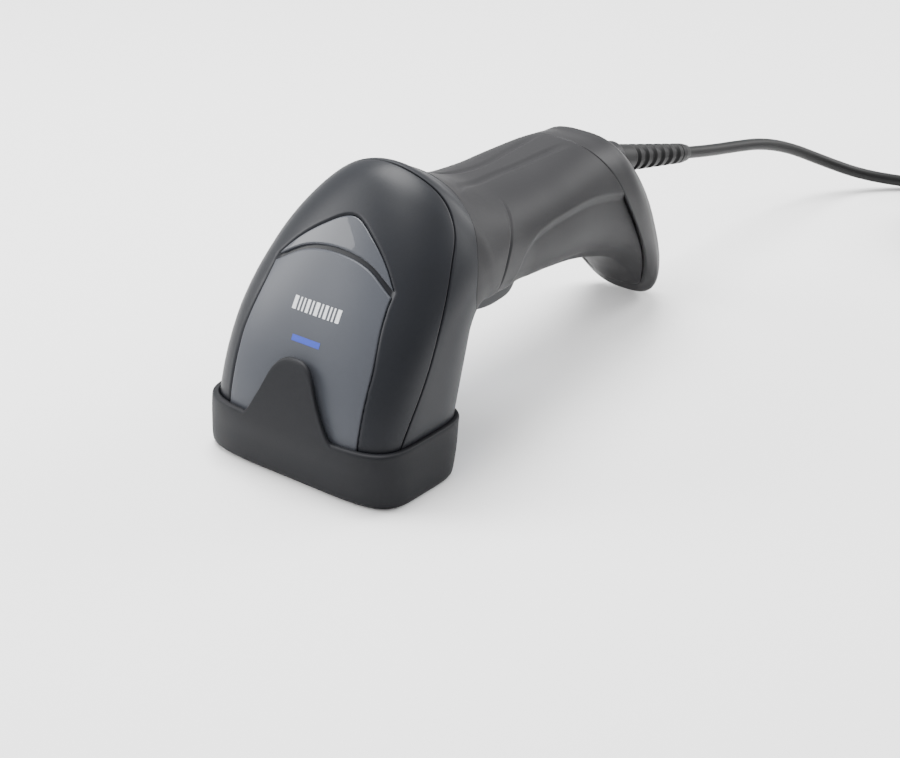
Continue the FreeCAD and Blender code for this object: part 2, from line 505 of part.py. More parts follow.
def cord_tube(points, radius, name):
    """A tube of straight runs joined by arcs that touch them, with its bend radii printed."""
    at = [Vector(*p) for p in points]
    edges, here, radii = [], at[0], []
    for before, corner, after in zip(at, at[1:], at[2:]):
        u, v = (corner - before).normalize(), (after - corner).normalize()
        turn = u.getAngle(v)
        shorter = min((corner - before).Length, (after - corner).Length)
        cut = 0.45 * shorter
        bend = cut / math.tan(turn / 2)
        radii.append(bend)
        start, end = corner - u * cut, corner + v * cut
        middle = corner + (v - u).normalize() * (bend / math.cos(turn / 2) - bend)
        if (start - here).Length > 1e-6:
            edges.append(Part.makeLine(here, start))
        edges.append(Part.Arc(start, middle, end).toShape())
        here = end
    edges.append(Part.makeLine(here, at[-1]))
    wire = Part.Wire(edges)
    disc = Part.Wire([Part.Circle(at[0], at[1] - at[0], radius).toShape()])
    tube = wire.makePipeShell([disc], True, True)
    expected = math.pi * radius ** 2 * wire.Length
    print(name, "length %.1f" % wire.Length, "volume ratio %.4f" % (tube.Volume / expected),
          "radii", " ".join("%.0f" % r for r in radii))
    return tube, wire.Length


lead_tube, lead_length = cord_tube(LEAD, CABLE_D / 2, "lead")
tail_tube, tail_length = cord_tube(TAIL, CABLE_D / 2, "tail")
save("cable", Part.makeCompound([lead_tube, tail_tube]))
turns = (CABLE_LENGTH - lead_length - tail_length) / (math.pi * COIL_MID_D)
print("coil turns %.2f" % turns)
COIL_HALF = 6.45
COIL_HIGH = 17.3
ring_in, ring_out = COIL_MID_D / 2 - COIL_HALF, COIL_MID_D / 2 + COIL_HALF
coil = rod(ring_out, (*COIL, 0.05), (*COIL, COIL_HIGH)).cut(rod(ring_in, (*COIL, -1), (*COIL, COIL_HIGH + 1)))
coil = coil.makeFillet(3.0, [e for e in coil.Edges if isinstance(e.Curve, Part.Circle)])
TIE = box(COIL[0] - ring_out - 1.2, COIL[0] - ring_in + 1.2, COIL[1] - 4, COIL[1] + 4, 0.0, COIL_HIGH + 0.9)
tie = TIE.cut(coil)
save("cable_coil", coil)
save("cable_tie", tie)
plug_y = TAIL[-1][1]
plug_x = TAIL[-1][0]
boot = block_round((15.5, 24.0, 8.0), (plug_x, plug_y - 12.0, 4.1), 3.0)
save("usb_plug_body", boot)
shell = box(plug_x - 6, plug_x + 6, plug_y - 36.5, plug_y - 24.0, 1.85, 6.35)
shell = shell.cut(box(plug_x - 5.7, plug_x + 5.7, plug_y - 37, plug_y - 23.0, 2.15, 6.05))
save("usb_plug_shell", shell)
save("usb_plug_tongue", box(plug_x - 5.5, plug_x + 5.5, plug_y - 35.9, plug_y - 24.0, 2.25, 4.0))
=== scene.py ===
import math

import bmesh
import bpy
import numpy as np
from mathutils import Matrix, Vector


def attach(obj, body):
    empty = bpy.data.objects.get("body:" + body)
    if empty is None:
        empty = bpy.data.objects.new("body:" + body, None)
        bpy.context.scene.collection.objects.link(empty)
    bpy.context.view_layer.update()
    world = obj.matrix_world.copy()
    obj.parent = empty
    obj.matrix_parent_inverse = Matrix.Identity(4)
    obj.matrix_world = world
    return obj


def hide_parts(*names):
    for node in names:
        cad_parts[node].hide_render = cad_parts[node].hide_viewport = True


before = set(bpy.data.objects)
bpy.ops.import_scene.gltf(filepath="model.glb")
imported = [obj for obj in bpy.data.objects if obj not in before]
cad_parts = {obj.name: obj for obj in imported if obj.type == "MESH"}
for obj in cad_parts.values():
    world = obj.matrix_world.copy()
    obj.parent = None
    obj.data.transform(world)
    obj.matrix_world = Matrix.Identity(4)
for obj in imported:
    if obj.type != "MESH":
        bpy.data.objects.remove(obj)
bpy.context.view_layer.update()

bl_info = {
    "name": "Handheld scanner builder",
    "version": (1, 0, 0),
    "blender": (4, 5, 0),
    "location": "3D View > Sidebar > Scanner",
    "description": "Builds the shells, grip, trigger and lead of a handheld barcode scanner",
    "category": "Object",
}

MM = 0.001
HOUSING = "housing"
FRONT = math.pi / 2
BACK = -math.pi / 2

# inner y, inner z, outer y, outer z, waist, half width, inner exponent, outer exponent, in mm
SECTIONS = np.array([
    (-49.4, -3.0, -82.8, -3.0, 0.5, 32.9, 4.8, 4.8),
    (-48.8, 2.5, -83.4, 2.5, 0.5, 33.3, 4.8, 4.8),
    (-47.4, 9.0, -85.2, 9.0, 0.5, 33.9, 4.8, 4.8),
    (-45.8, 16.0, -86.0, 16.0, 0.5, 34.3, 4.6, 4.6),
    (-43.0, 24.0, -84.6, 24.0, 0.5, 34.6, 4.2, 4.2),
    (-40.0, 31.5, -81.9, 32.5, 0.5, 34.6, 3.9, 3.9),
    (-37.5, 36.6, -77.9, 41.5, 0.5, 34.4, 3.6, 3.6),
    (-35.8, 39.4, -72.7, 50.8, 0.48, 34.0, 3.3, 3.2),
    (-34.4, 40.8, -66.0, 60.6, 0.45, 33.5, 3.1, 2.75),
    (-33.0, 41.2, -58.8, 69.8, 0.42, 32.9, 3.0, 2.4),
    (-31.0, 41.0, -51.4, 77.8, 0.39, 32.1, 3.0, 2.1),
    (-28.6, 40.4, -45.0, 82.9, 0.36, 31.2, 3.0, 1.95),
    (-26.0, 39.6, -39.0, 84.5, 0.36, 30.5, 3.0, 1.9),
    (-23.2, 38.7, -33.6, 81.9, 0.38, 29.7, 2.9, 1.9),
    (-19.8, 37.7, -27.4, 78.3, 0.43, 28.6, 2.8, 1.95),
    (-14.0, 36.0, -18.6, 73.7, 0.48, 27.0, 2.6, 2.2),
    (-4.5, 33.6, -6.0, 69.2, 0.5, 24.8, 2.5, 2.4),
    (10.0, 31.4, 10.0, 67.6, 0.5, 23.3, 2.5, 2.5),
    (24.0, 30.0, 24.0, 67.8, 0.5, 22.2, 2.5, 2.5),
    (38.0, 28.0, 37.0, 68.0, 0.5, 20.8, 2.5, 2.5),
    (50.0, 25.0, 44.5, 67.4, 0.5, 19.9, 2.6, 2.6),
    (62.0, 20.6, 50.5, 66.5, 0.5, 19.5, 2.8, 2.8),
    (72.0, 12.6, 54.5, 66.4, 0.5, 19.4, 2.9, 2.9),
    (79.5, 4.6, 57.6, 64.6, 0.5, 18.8, 2.9, 2.9),
    (83.4, 0.4, 61.4, 61.8, 0.5, 17.8, 2.8, 2.8),
    (86.6, 2.6, 66.4, 57.0, 0.5, 15.8, 2.6, 2.6),
    (88.0, 8.2, 71.0, 51.5, 0.5, 12.5, 2.4, 2.4),
])
BUMPER = np.array([
    (-49.4, 0.0, -86.0, 0.0, 0.5, 35.6, 5.0, 5.0),
    (-48.8, 2.2, -87.4, 2.2, 0.5, 36.4, 5.0, 5.0),
    (-46.6, 9.0, -87.9, 9.0, 0.5, 36.5, 4.8, 4.8),
    (-44.3, 17.5, -88.0, 17.5, 0.5, 36.2, 4.6, 4.6),
    (-39.4, 30.0, -85.9, 30.0, 0.5, 36.6, 4.2, 4.2),
    (-36.0, 42.0, -82.0, 42.0, 0.5, 36.4, 3.8, 3.8),
])
LAST_ROW = len(SECTIONS) - 1
MIDDLE_LINE = [(-88, 20), (-60, 35), (-35, 58), (-10, 52), (20, 50), (50, 46), (72, 32), (88, 25)]

# part lines seen from the side, as (z, y)
SEAM = [(96.0, -42.5), (85.5, -40.6), (78.0, -39.4), (71.1, -41.9), (62.8, -49.0), (50.4, -57.5),
        (35.6, -66.0), (20.5, -75.4), (8.0, -81.0), (-4.0, -84.0)]
CREASE = [(94.0, -25.0), (81.0, -29.5), (73.5, -32.5), (65.5, -36.0), (57.5, -39.5), (50.5, -41.0),
          (44.5, -39.5), (40.5, -35.5), (37.0, -31.0), (30.0, -26.0)]
GRIP_LINE = [(90.0, 2.0), (71.5, -4.6), (65.5, -9.5), (59.5, -15.5), (52.0, -21.0), (44.5, -25.0),
             (30.0, -28.0)]
CAP_LEAN = math.radians(31.0)
CAP_SEAM = (63.4, 31.5)
# upper edge of the hand scallop, as (y, z), and the palm crease, as (y, distance from the middle)
SCALLOP = [(-14.0, 44.0), (-8.2, 50.8), (-1.6, 54.0), (8.6, 55.4), (19.1, 55.5), (31.7, 54.9),
           (47.8, 51.4), (62.0, 47.0)]
PALM = [(-34.0, 19.5), (-20.0, 10.5), (1.2, 4.5), (23.3, 5.0), (45.3, 6.5)]
SLOT_MARK = np.array([(21.8, -39.4, 77.4), (28.2, -42.5, 73.4)])

BADGE_TOP = [(-22.1, 57.0), (-12.5, 62.3), (0.0, 64.2), (12.5, 62.3), (22.1, 57.0)]
LENS_LOW = [(-22.4, 57.9), (-12.5, 63.1), (0.0, 65.0), (12.5, 63.1), (22.4, 57.9)]
LENS_HIGH = [(-22.4, 57.9), (-17.5, 63.2), (-9.5, 69.3), (0.0, 73.3), (9.5, 69.3), (17.5, 63.2), (22.4, 57.9)]
TONGUE = [(-19.5, 17.5), (-17.5, 17.5), (-11.4, 26.0), (-7.2, 34.2), (0.0, 37.7), (7.2, 34.2), (11.4, 26.0),
          (17.5, 17.5), (19.5, 17.5)]
BUMPER_TOP = 17.5
INSIDE_BOX = 0.1             # keeps the rim's smooth curve within the solid's size

FINGER = [(-27.2, 44.5), (-26.6, 38.5), (-21.0, 33.0), (-11.0, 29.2), (0.0, 28.2), (7.6, 29.8), (10.0, 32.4)]
FINGER_BACK = [(8.4, 35.2), (0.0, 34.2), (-12.0, 34.8), (-19.8, 40.5)]
PAD = [(-20.5, 31.8), (-11.0, 28.3), (0.0, 27.3), (5.2, 28.0)]
PAD_BACK = [(4.8, 30.2), (0.0, 29.4), (-11.0, 30.4), (-19.2, 33.6)]

LEVER_HALF = 9.4
PAD_HALF = 6.1
LEVER_MIDDLE = (0.0, -9.0, 32.5)

RELIEF_ROOT = (0.0, 76.0, 50.0)
RELIEF_DROP = math.radians(14.4)
RIB_PITCH = 5.2
RIB_DEPTH = 0.85

RECESS_DEPTH = 0.9           # of the cover under the badge and lens
SLOT_DEPTH = 0.7
PALM_DEPTH = 0.55
GRIP_LINE_DEPTH = 0.5
OPENING_DEPTH = 11.0         # of the trigger's opening, whose floor is then taken out
GRIP_WALL = 0.8
CAP_WALL = 1.2
BADGE_HALF = 24.5
BADGE_TAPER = 2.6            # how much narrower each side is at the top
LENS_HALF = 22.2
BAR_WIDTHS = (1.4, 0.6, 0.6, 1.1, 0.6, 1.4, 0.6, 1.1, 0.6, 0.6, 1.4)
BAR_GAP = 0.75
BAR_HEIGHTS = (48.2, 51.6)
STRIPE = (-5.2, 5.2, 40.6, 42.2)

# the lead's route, in metres
LEAD = [(0.0, 0.11668, 0.03956), (0.0, 0.1322, 0.0356), (0.0005, 0.1492, 0.0322), (0.0016, 0.1664, 0.0286),
        (0.0038, 0.1832, 0.0222), (0.0086, 0.1984, 0.0139), (0.0174, 0.2116, 0.0066), (0.0296, 0.2232, 0.0029),
        (0.0436, 0.2312, 0.00215), (0.0564, 0.2346, 0.00215), (0.0694, 0.2352, 0.00215)]
TAIL = [(0.1098, 0.201, 0.0148), (0.1098, 0.190, 0.0102), (0.109, 0.181, 0.0056), (0.108, 0.173, 0.0041)]
COIL_CENTRE = (0.082, 0.2074)
COIL_COLUMNS = 3
COIL_LAYERS = 4
COIL_POINTS = 16
COIL_OUTER = 27.8
COIL_CHORD = 0.985           # how far the smooth curve stays inside its control points


# ---------------------------------------------------------------- curves and surfaces
def smooth(x, low, high):
    """3t2 - 2t3 with t running from 0 at low to 1 at high."""
    t = np.clip((x - low) / (high - low), 0.0, 1.0)
    return t * t * (3.0 - 2.0 * t)


def through(x, points):
    """Cubic Hermite curve through (x, y) points, its slopes from its neighbours, held level past its ends."""
    xs, ys = np.array(sorted(points), float).T
    slopes = np.gradient(ys, xs)
    x = np.asarray(x, float)
    i = np.clip(np.searchsorted(xs, x) - 1, 0, len(xs) - 2)
    h = xs[i + 1] - xs[i]
    t = np.clip((x - xs[i]) / h, 0.0, 1.0)
    a = ys[i] * (1 + 2 * t) * (1 - t) ** 2 + ys[i + 1] * t * t * (3 - 2 * t)
    return a + h * t * (1 - t) * (slopes[i] * (1 - t) - slopes[i + 1] * t)


def form(row, angle, inset=0.0, table=SECTIONS):
    """Superellipse ring: x = half r cos, along = mid + reach r sin with r = (|cos|^n + |sin|^n)^(-1/n).

    The ring's measures run through the table's rows on a Catmull-Rom curve, and inset draws it in."""
    row, angle, inset = np.broadcast_arrays(np.asarray(row, float), angle, inset)
    i = np.clip(np.floor(row).astype(int), 0, len(table) - 2)
    t = (row - i)[..., None]
    padded = np.vstack([2 * table[0] - table[1], table, 2 * table[-1] - table[-2]])
    a, b, c, d = (padded[i + k] for k in range(4))
    ring = 0.5 * (2 * b + (c - a) * t + (2 * a - 5 * b + 4 * c - d) * t ** 2
                  + (3 * b - a - 3 * c + d) * t ** 3)
    iy, iz, oy, oz, waist, half, n_in, n_out = np.moveaxis(ring, -1, 0)
    cos, sin = np.cos(angle), np.sin(angle)
    n = np.where(sin > 0, n_out, n_in)
    r = (np.abs(cos) ** n + np.abs(sin) ** n) ** (-1.0 / n)
    span = np.hypot(oy - iy, oz - iz)
    mid = span * waist
    along = mid + (np.where(sin > 0, span - mid, mid) - inset) * r * sin
    return np.stack([(half - inset) * r * cos,
                     iy + (oy - iy) / span * along,
                     iz + (oz - iz) / span * along], -1)


def from_line(points, line):
    """Distance behind a part line, as y less the line's y at that height, over its slant."""
    z = points[..., 2]
    slant = (through(z + 0.5, line) - through(z - 0.5, line))
    return (points[..., 1] - through(z, line)) / np.sqrt(1 + slant ** 2)


def from_cap(points):
    """Distance behind the butt cap's leaning seam plane."""
    behind, above = points[..., 1] - CAP_SEAM[0], points[..., 2] - CAP_SEAM[1]
    return behind * math.cos(CAP_LEAN) + above * math.sin(CAP_LEAN)


def first_row(angle, distance, low, high):
    """The row at which each angle's lengthwise line first gets behind a part line."""
    rows = np.linspace(low, high, 900)
    d = distance(form(rows[:, None], angle[None, :]))
    k = np.clip(np.argmax(d > 0, axis=0), 1, None)
    j = np.arange(len(angle))
    return rows[k - 1] + (rows[k] - rows[k - 1]) * d[k - 1, j] / (d[k - 1, j] - d[k, j])


def seam_angle(rows):
    """The angle on each ring, from the side towards the front, where the front cover starts."""
    angles = np.linspace(BACK, FRONT, 1400)
    d = from_line(form(rows[:, None], angles[None, :]), SEAM)
    k = np.clip(d.shape[1] - 1 - np.argmax(d[:, ::-1] > 0, axis=1), 0, d.shape[1] - 2)
    j = np.arange(len(rows))
    part = d[j, k] / (d[j, k] - d[j, k + 1])
    return angles[k] + (angles[k + 1] - angles[k]) * np.clip(part, 0, 1)


def mesh_object(name, points, quads, material, slot, solid=0.0):
    """Puts numpy points (mm) and quads into a mesh and merges what coincides."""
    mesh = bpy.data.meshes.new(name)
    mesh.from_pydata((points * MM).tolist(), [], quads.tolist())
    obj = bpy.data.objects.new(name, mesh)
    bpy.context.scene.collection.objects.link(obj)
    bm = bmesh.new()
    bm.from_mesh(mesh)
    bmesh.ops.remove_doubles(bm, verts=bm.verts, dist=2e-6)
    bmesh.ops.dissolve_degenerate(bm, edges=bm.edges, dist=1e-6)
    bm.to_mesh(mesh)
    bm.free()
    mesh.polygons.foreach_set("use_smooth", np.ones(len(mesh.polygons), bool))
    mesh.materials.append(material)
    if solid:
        wall = obj.modifiers.new("wall", "SOLIDIFY")
        wall.thickness = solid * MM
        wall.offset = -1.0
    return obj


def grid_quads(rows, cols, wrap=False, start=0):
    """Corner numbers of every cell of a grid, as one array."""
    i, j = np.meshgrid(np.arange(rows - 1), np.arange(cols if wrap else cols - 1), indexing="ij")
    k = (j + 1) % cols
    quads = np.stack([i * cols + j, i * cols + k, (i + 1) * cols + k, (i + 1) * cols + j], -1)
    return quads.reshape(-1, 4) + start


def facing(points, quads, outward):
    """Turns the quads round where most of them face away from the outward directions."""
    a, b, c, d = (points[quads[:, k]] for k in range(4))
    normal = np.cross(c - a, d - b)
    way = outward(0.25 * (a + b + c + d))
    return quads if np.sum(normal * way) > 0 else quads[:, ::-1]


def from_middle(points):
    """Outward directions: away from the body's own middle line."""
    y, z = points[:, 1], points[:, 2]
    middle_z = through(y, MIDDLE_LINE)
    head = y < -30
    cy = np.where(head, np.clip(-62 + 0.5 * (z - 20), -66, -34), y)
    return np.stack([points[:, 0], points[:, 1] - cy, z - middle_z], -1)


def to_front(points):
    """Outward directions: forward and a little upward, the same for every point."""
    return np.broadcast_to(np.array([0.0, -1.0, 0.35]), points.shape)


def surface(name, grids, material, slot, outward=from_middle, **finish):
    """One object from several grids of points, each (points, wrap), all facing outward."""
    everything, quads, start = [], [], 0
    for points, wrap in grids:
        flat = points.reshape(-1, 3)
        cells = grid_quads(points.shape[0], points.shape[1], wrap)
        quads.append(facing(flat, cells, outward) + start)
        everything.append(flat)
        start += len(flat)
    return mesh_object(name, np.vstack(everything), np.vstack(quads), material, slot, **finish)


def both_sides(points):
    """A right half and its mirror image, as two grids."""
    return [(points, False), (points * np.array([-1.0, 1.0, 1.0]), False)]


def placed(obj, *nodes, body=HOUSING):
    """Stands a piece in for CAD nodes and rides it on a body."""
    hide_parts(*nodes)
    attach(obj, body)
    return obj


def on_front(x, z, lift=0.0):
    """Points of the head's front at x and z, by Newton steps on row and angle; lift stands them proud."""
    x, z = np.broadcast_arrays(np.asarray(x, float), z)
    row = np.interp(z, SECTIONS[:12, 3], np.arange(12.0))
    angle = FRONT - x / 40.0
    step = 1e-4
    for _ in range(30):
        here = form(row, angle)
        by_row = (form(row + step, angle) - here) / step
        by_angle = (form(row, angle + step) - here) / step
        ex, ez = x - here[..., 0], z - here[..., 2]
        det = by_row[..., 0] * by_angle[..., 2] - by_angle[..., 0] * by_row[..., 2]
        det = np.where(np.abs(det) < 1e-6, 1e-6, det)
        d_row = (ex * by_angle[..., 2] - ez * by_angle[..., 0]) / det
        d_angle = (ez * by_row[..., 0] - ex * by_row[..., 2]) / det
        row = np.clip(row + np.clip(d_row, -0.5, 0.5), 0.0, 12.0)
        angle = np.clip(angle + np.clip(d_angle, -0.15, 0.15), 0.1, math.pi - 0.1)
    return form(row, angle, -lift)


# ---------------------------------------------------------------- shader sockets with Python's arithmetic
class Socket:
    """A shader value that adds its Math nodes as it is reckoned with."""

    def __init__(self, paint, socket):
        self.paint = paint
        self.socket = socket

    def reckon(self, operation, first, second):
        node = self.paint.node("Math", {"operation": operation}, {0: first, 1: second})
        return Socket(self.paint, node.outputs[0])

    def __add__(self, other):
        return self.reckon("ADD", self, other)

    def __sub__(self, other):
        return self.reckon("SUBTRACT", self, other)

    def __rsub__(self, other):
        return self.reckon("SUBTRACT", other, self)

    def __mul__(self, other):
        return self.reckon("MULTIPLY", self, other)

    def __gt__(self, other):
        return self.reckon("GREATER_THAN", self, other)

    __radd__ = __add__
    __rmul__ = __mul__


class Paint:
    """One procedural material on a Principled shader."""

    def __init__(self, name, roughness=0.5, **constants):
        self.material = bpy.data.materials.new(name)
        self.material.use_nodes = True
        self.tree = self.material.node_tree
        self.shader = next(n for n in self.tree.nodes if n.type == "BSDF_PRINCIPLED")
        self.shader.inputs["Roughness"].default_value = roughness
        for key, value in constants.items():
            self.shader.inputs[key.replace("_", " ")].default_value = value
        self.place = self.node("TexCoord").outputs["Object"]

    def node(self, kind, settings=None, values=None):
        """A node of a kind, its settings made first, then its sockets' values or links."""
        node = self.tree.nodes.new("ShaderNode" + kind)
        for key, value in (settings or {}).items():
            setattr(node, key, value)
        for key, value in (values or {}).items():
            value = value.socket if isinstance(value, Socket) else value
            if isinstance(value, bpy.types.NodeSocket):
                self.tree.links.new(value, node.inputs[key])
            else:
                node.inputs[key].default_value = value
        return node

    def noise(self, scale, detail=2.0, rough=0.5):
        node = self.node("TexNoise", None, {"Vector": self.place, "Scale": scale, "Detail": detail,
                                            "Roughness": rough})
        return Socket(self, node.outputs[0])

    def cells(self, scale, feature="F1"):
        node = self.node("TexVoronoi", {"feature": feature}, {"Vector": self.place, "Scale": scale})
        return Socket(self, node.outputs["Distance"])

    def blend(self, factor, a, b):
        ends = {0: factor, 6: tuple(a) + (1.0,), 7: tuple(b) + (1.0,)}
        return self.node("Mix", {"data_type": "RGBA"}, ends).outputs[2]

    def feed(self, name, value):
        value = value.socket if isinstance(value, Socket) else value
        self.tree.links.new(value, self.shader.inputs[name])

    def relief(self, height, strength, distance):
        bump = self.node("Bump", None, {"Height": height, "Strength": strength, "Distance": distance})
        self.tree.links.new(bump.outputs[0], self.shader.inputs["Normal"])


def tint(color, factor):
    """A colour times a factor, held to 1."""
    return tuple(min(1.0, c * factor) for c in color)


def moulded(name, color, roughness, grain=2600.0, depth=0.25, spread=0.12, **constants):
    """Moulded plastic or rubber: spark-eroded grain, cloudy gloss and a slight drift of colour."""
    paint = Paint(name, roughness, **{"Specular_IOR_Level": 0.2, **constants})
    cloud = paint.noise(45.0, 3.0)
    fine = paint.noise(grain, 3.0, 0.6)
    pits = paint.cells(grain * 0.7)
    drift = cloud * 0.7 + fine * 0.3
    paint.feed("Base Color", paint.blend(drift, tint(color, 1 - spread), tint(color, 1 + spread)))
    paint.feed("Roughness", roughness - 0.05 + cloud * 0.06 + fine * 0.05)
    paint.relief(fine * 0.6 + pits * 0.4, depth, 0.00006)
    return paint.material


def worked_metal(name, color, roughness):
    """Plated steel: fine drawn lines and a cloudy gloss."""
    paint = Paint(name, roughness, Metallic=1.0)
    cloud = paint.noise(120.0, 3.0)
    fine = paint.noise(3800.0, 2.0)
    paint.feed("Base Color", paint.blend(cloud, tint(color, 0.85), tint(color, 1.1)))
    paint.feed("Roughness", roughness - 0.06 + cloud * 0.14)
    paint.relief(fine, 0.12, 0.00003)
    return paint.material


def clear(name, color, roughness, transmission, ior=1.49):
    """Clear or tinted plastic and glass."""
    paint = Paint(name, roughness, Transmission_Weight=transmission, IOR=ior)
    cloud = paint.noise(60.0)
    paint.feed("Base Color", paint.blend(cloud, tint(color, 0.95), tint(color, 1.05)))
    paint.feed("Roughness", roughness + cloud * 0.03)
    return paint.material


def circuit(name, color):
    """Circuit board: solder mask with a woven ground and lighter copper runs beneath it."""
    paint = Paint(name, 0.35)
    runs = paint.cells(420.0, "DISTANCE_TO_EDGE")
    mask = runs > 0.11
    paint.feed("Base Color", paint.blend(mask, tint(color, 1.9), color))
    paint.feed("Roughness", 0.3 + paint.noise(900.0) * 0.15)
    paint.relief(mask * 0.5 + paint.noise(2400.0) * 0.2, 0.3, 0.00004)
    return paint.material


MATERIALS = {}


def make_materials(colors):
    """Every finish by its slot name."""
    MATERIALS.update({
        "cover_plastic": moulded("cover plastic", colors.cover, 0.42, 2600, 0.22),
        "body_plastic": moulded("body plastic", colors.body, 0.46, 2400, 0.25),
        "badge_plastic": moulded("badge plate", colors.badge, 0.38, 3200, 0.15, 0.08),
        "indicator_lens": moulded("indicator lens", tint(colors.badge, 0.93), 0.34, 3400, 0.1, 0.06,
                                  Coat_Weight=0.2),
        "light_guide": clear("light guide", (0.9, 0.92, 0.94), 0.12, 0.85),
        "bumper_rubber": moulded("bumper rubber", colors.bumper, 0.58, 1900, 0.35),
        "seal_foam": moulded("seal foam", (0.02, 0.02, 0.02), 0.9, 1200, 0.5),
        "grip_rubber": moulded("grip rubber", colors.grip, 0.55, 2000, 0.35),
        "cap_plastic": moulded("cap plastic", colors.cap, 0.47, 2400, 0.25),
        "scan_window": clear("scan window", (0.42, 0.05, 0.07), 0.05, 0.8),
        "optics_black": moulded("optics black", (0.015, 0.015, 0.017), 0.75, 1800, 0.4),
        "lens_glass": clear("lens glass", (0.75, 0.8, 0.95), 0.02, 0.95, 1.6),
        "board_green": circuit("circuit board", (0.012, 0.09, 0.035)),
        "led_white": moulded("lamp white", (0.8, 0.79, 0.72), 0.3, 3000, 0.1),
        "chip_black": moulded("chip black", (0.02, 0.02, 0.022), 0.45, 2600, 0.2),
        "plug_clear": clear("clear plug", (0.85, 0.87, 0.88), 0.15, 0.7),
        "trigger_black": moulded("trigger black", (0.022, 0.023, 0.026), 0.4, 2600, 0.2),
        "trigger_blue": moulded("trigger blue", colors.trigger, 0.45, 2200, 0.25),
        "cable_jacket": moulded("cable jacket", colors.lead, 0.5, 2200, 0.2),
        "tie_black": moulded("tie black", (0.02, 0.02, 0.02), 0.55, 1600, 0.3),
        "steel": worked_metal("screw steel", (0.55, 0.55, 0.56), 0.3),
        "plug_steel": worked_metal("plug steel", (0.62, 0.62, 0.63), 0.26),
        "print_white": moulded("print white", (0.62, 0.63, 0.65), 0.45, 3000, 0.08),
        "print_blue": moulded("print blue", (0.035, 0.06, 0.36), 0.42, 3000, 0.08),
    })


# ---------------------------------------------------------------- settings
class ScannerColors(bpy.types.PropertyGroup):
    """Colours of the moulded parts."""
    cover: bpy.props.FloatVectorProperty(name="Front cover", description="Colour of the front cover", subtype="COLOR",
                                         default=(0.0085, 0.0095, 0.0125))
    body: bpy.props.FloatVectorProperty(name="Main body", description="Colour of the head's back", subtype="COLOR",
                                        default=(0.0105, 0.0115, 0.0145))
    badge: bpy.props.FloatVectorProperty(name="Badge plate", description="Colour of the badge plate", subtype="COLOR",
                                         default=(0.052, 0.056, 0.066))
    bumper: bpy.props.FloatVectorProperty(name="Bumper", description="Colour of the nose bumper", subtype="COLOR",
                                          default=(0.006, 0.0065, 0.0085))
    grip: bpy.props.FloatVectorProperty(name="Grip", description="Colour of the grip sleeve", subtype="COLOR",
                                        default=(0.0125, 0.0123, 0.0138))
    cap: bpy.props.FloatVectorProperty(name="Butt cap", description="Colour of the butt cap", subtype="COLOR",
                                       default=(0.0145, 0.0143, 0.0158))
    trigger: bpy.props.FloatVectorProperty(name="Trigger pad", description="Colour of the trigger's pad",
                                           subtype="COLOR", default=(0.03, 0.16, 0.36))
    lead: bpy.props.FloatVectorProperty(name="Lead", description="Colour of the cable's jacket", subtype="COLOR",
                                        default=(0.0075, 0.0075, 0.0078))


class ScannerSizes(bpy.types.PropertyGroup):
    """Measures of the seams, grip and lead."""
    wall: bpy.props.FloatProperty(name="Wall", description="Wall of the moulded shells", unit="LENGTH", default=0.0016)
    seam: bpy.props.FloatProperty(name="Seam", description="Width of the groove between shells", unit="LENGTH",
                                  default=0.0008)
    scallop: bpy.props.FloatProperty(name="Scallop", description="Depth of the hand hollow", unit="LENGTH",
                                     default=0.0015)
    cable: bpy.props.FloatProperty(name="Cable", description="Diameter of the cable", unit="LENGTH", default=0.0042)
    lead: bpy.props.FloatProperty(name="Lead length", description="Real length of the lead", unit="LENGTH", default=2.0)


def sizes():
    """The measures set in the panel, in metres."""
    return bpy.context.scene.scanner_sizes


# ---------------------------------------------------------------- shells
EDGE_DISTANCE = np.array([0.0, 0.0, 0.06, 0.18, 0.36, 0.6])
EDGE_DROP = np.array([1.5, 0.5, 0.24, 0.08, 0.02, 0.0])
HIDDEN_ROW = 1.2


def seam_curve(count):
    """Rows and angles along the right half of the head seam, from under the bumper to the crown."""
    top = float(first_row(np.array([FRONT]), lambda p: from_line(p, SEAM), 8.0, 14.0)[0])
    rows = HIDDEN_ROW + (top - HIDDEN_ROW) * (1 - (1 - np.linspace(0, 1, count)) ** 2)
    angles = seam_angle(rows)
    angles[-1] = FRONT
    return rows, angles


def along_lines(rows_a, angles_a, rows_b, angles_b, fractions):
    """Rows and angles on straight lines of the (row, angle) plane from curve a to curve b."""
    f = fractions
    return (rows_a[:, None] * (1 - f) + rows_b[:, None] * f,
            angles_a[:, None] * (1 - f) + angles_b[:, None] * f)


def line_length(rows_a, angles_a, rows_b, angles_b):
    """Length in mm of each of those lines on the form, as the sum of 39 chords."""
    f = np.linspace(0, 1, 40)[None, :]
    p = form(*along_lines(rows_a, angles_a, rows_b, angles_b, f))
    return np.sum(np.linalg.norm(np.diff(p, axis=1), axis=-1), axis=1)


def badge_gap(points):
    """How far inside (+) the badge and lens recess a front point is, in mm, up to the lens's top curve."""
    x, z = np.abs(points[..., 0]), points[..., 2]
    half = 24.7 - BADGE_TAPER * smooth(z, 36, 57)
    high = through(np.clip(x, 0, 22.4), LENS_HIGH)
    slope = 1 + 0.55 * smooth(x, 6, 20)
    return np.minimum(half - x, (high - z) / slope)


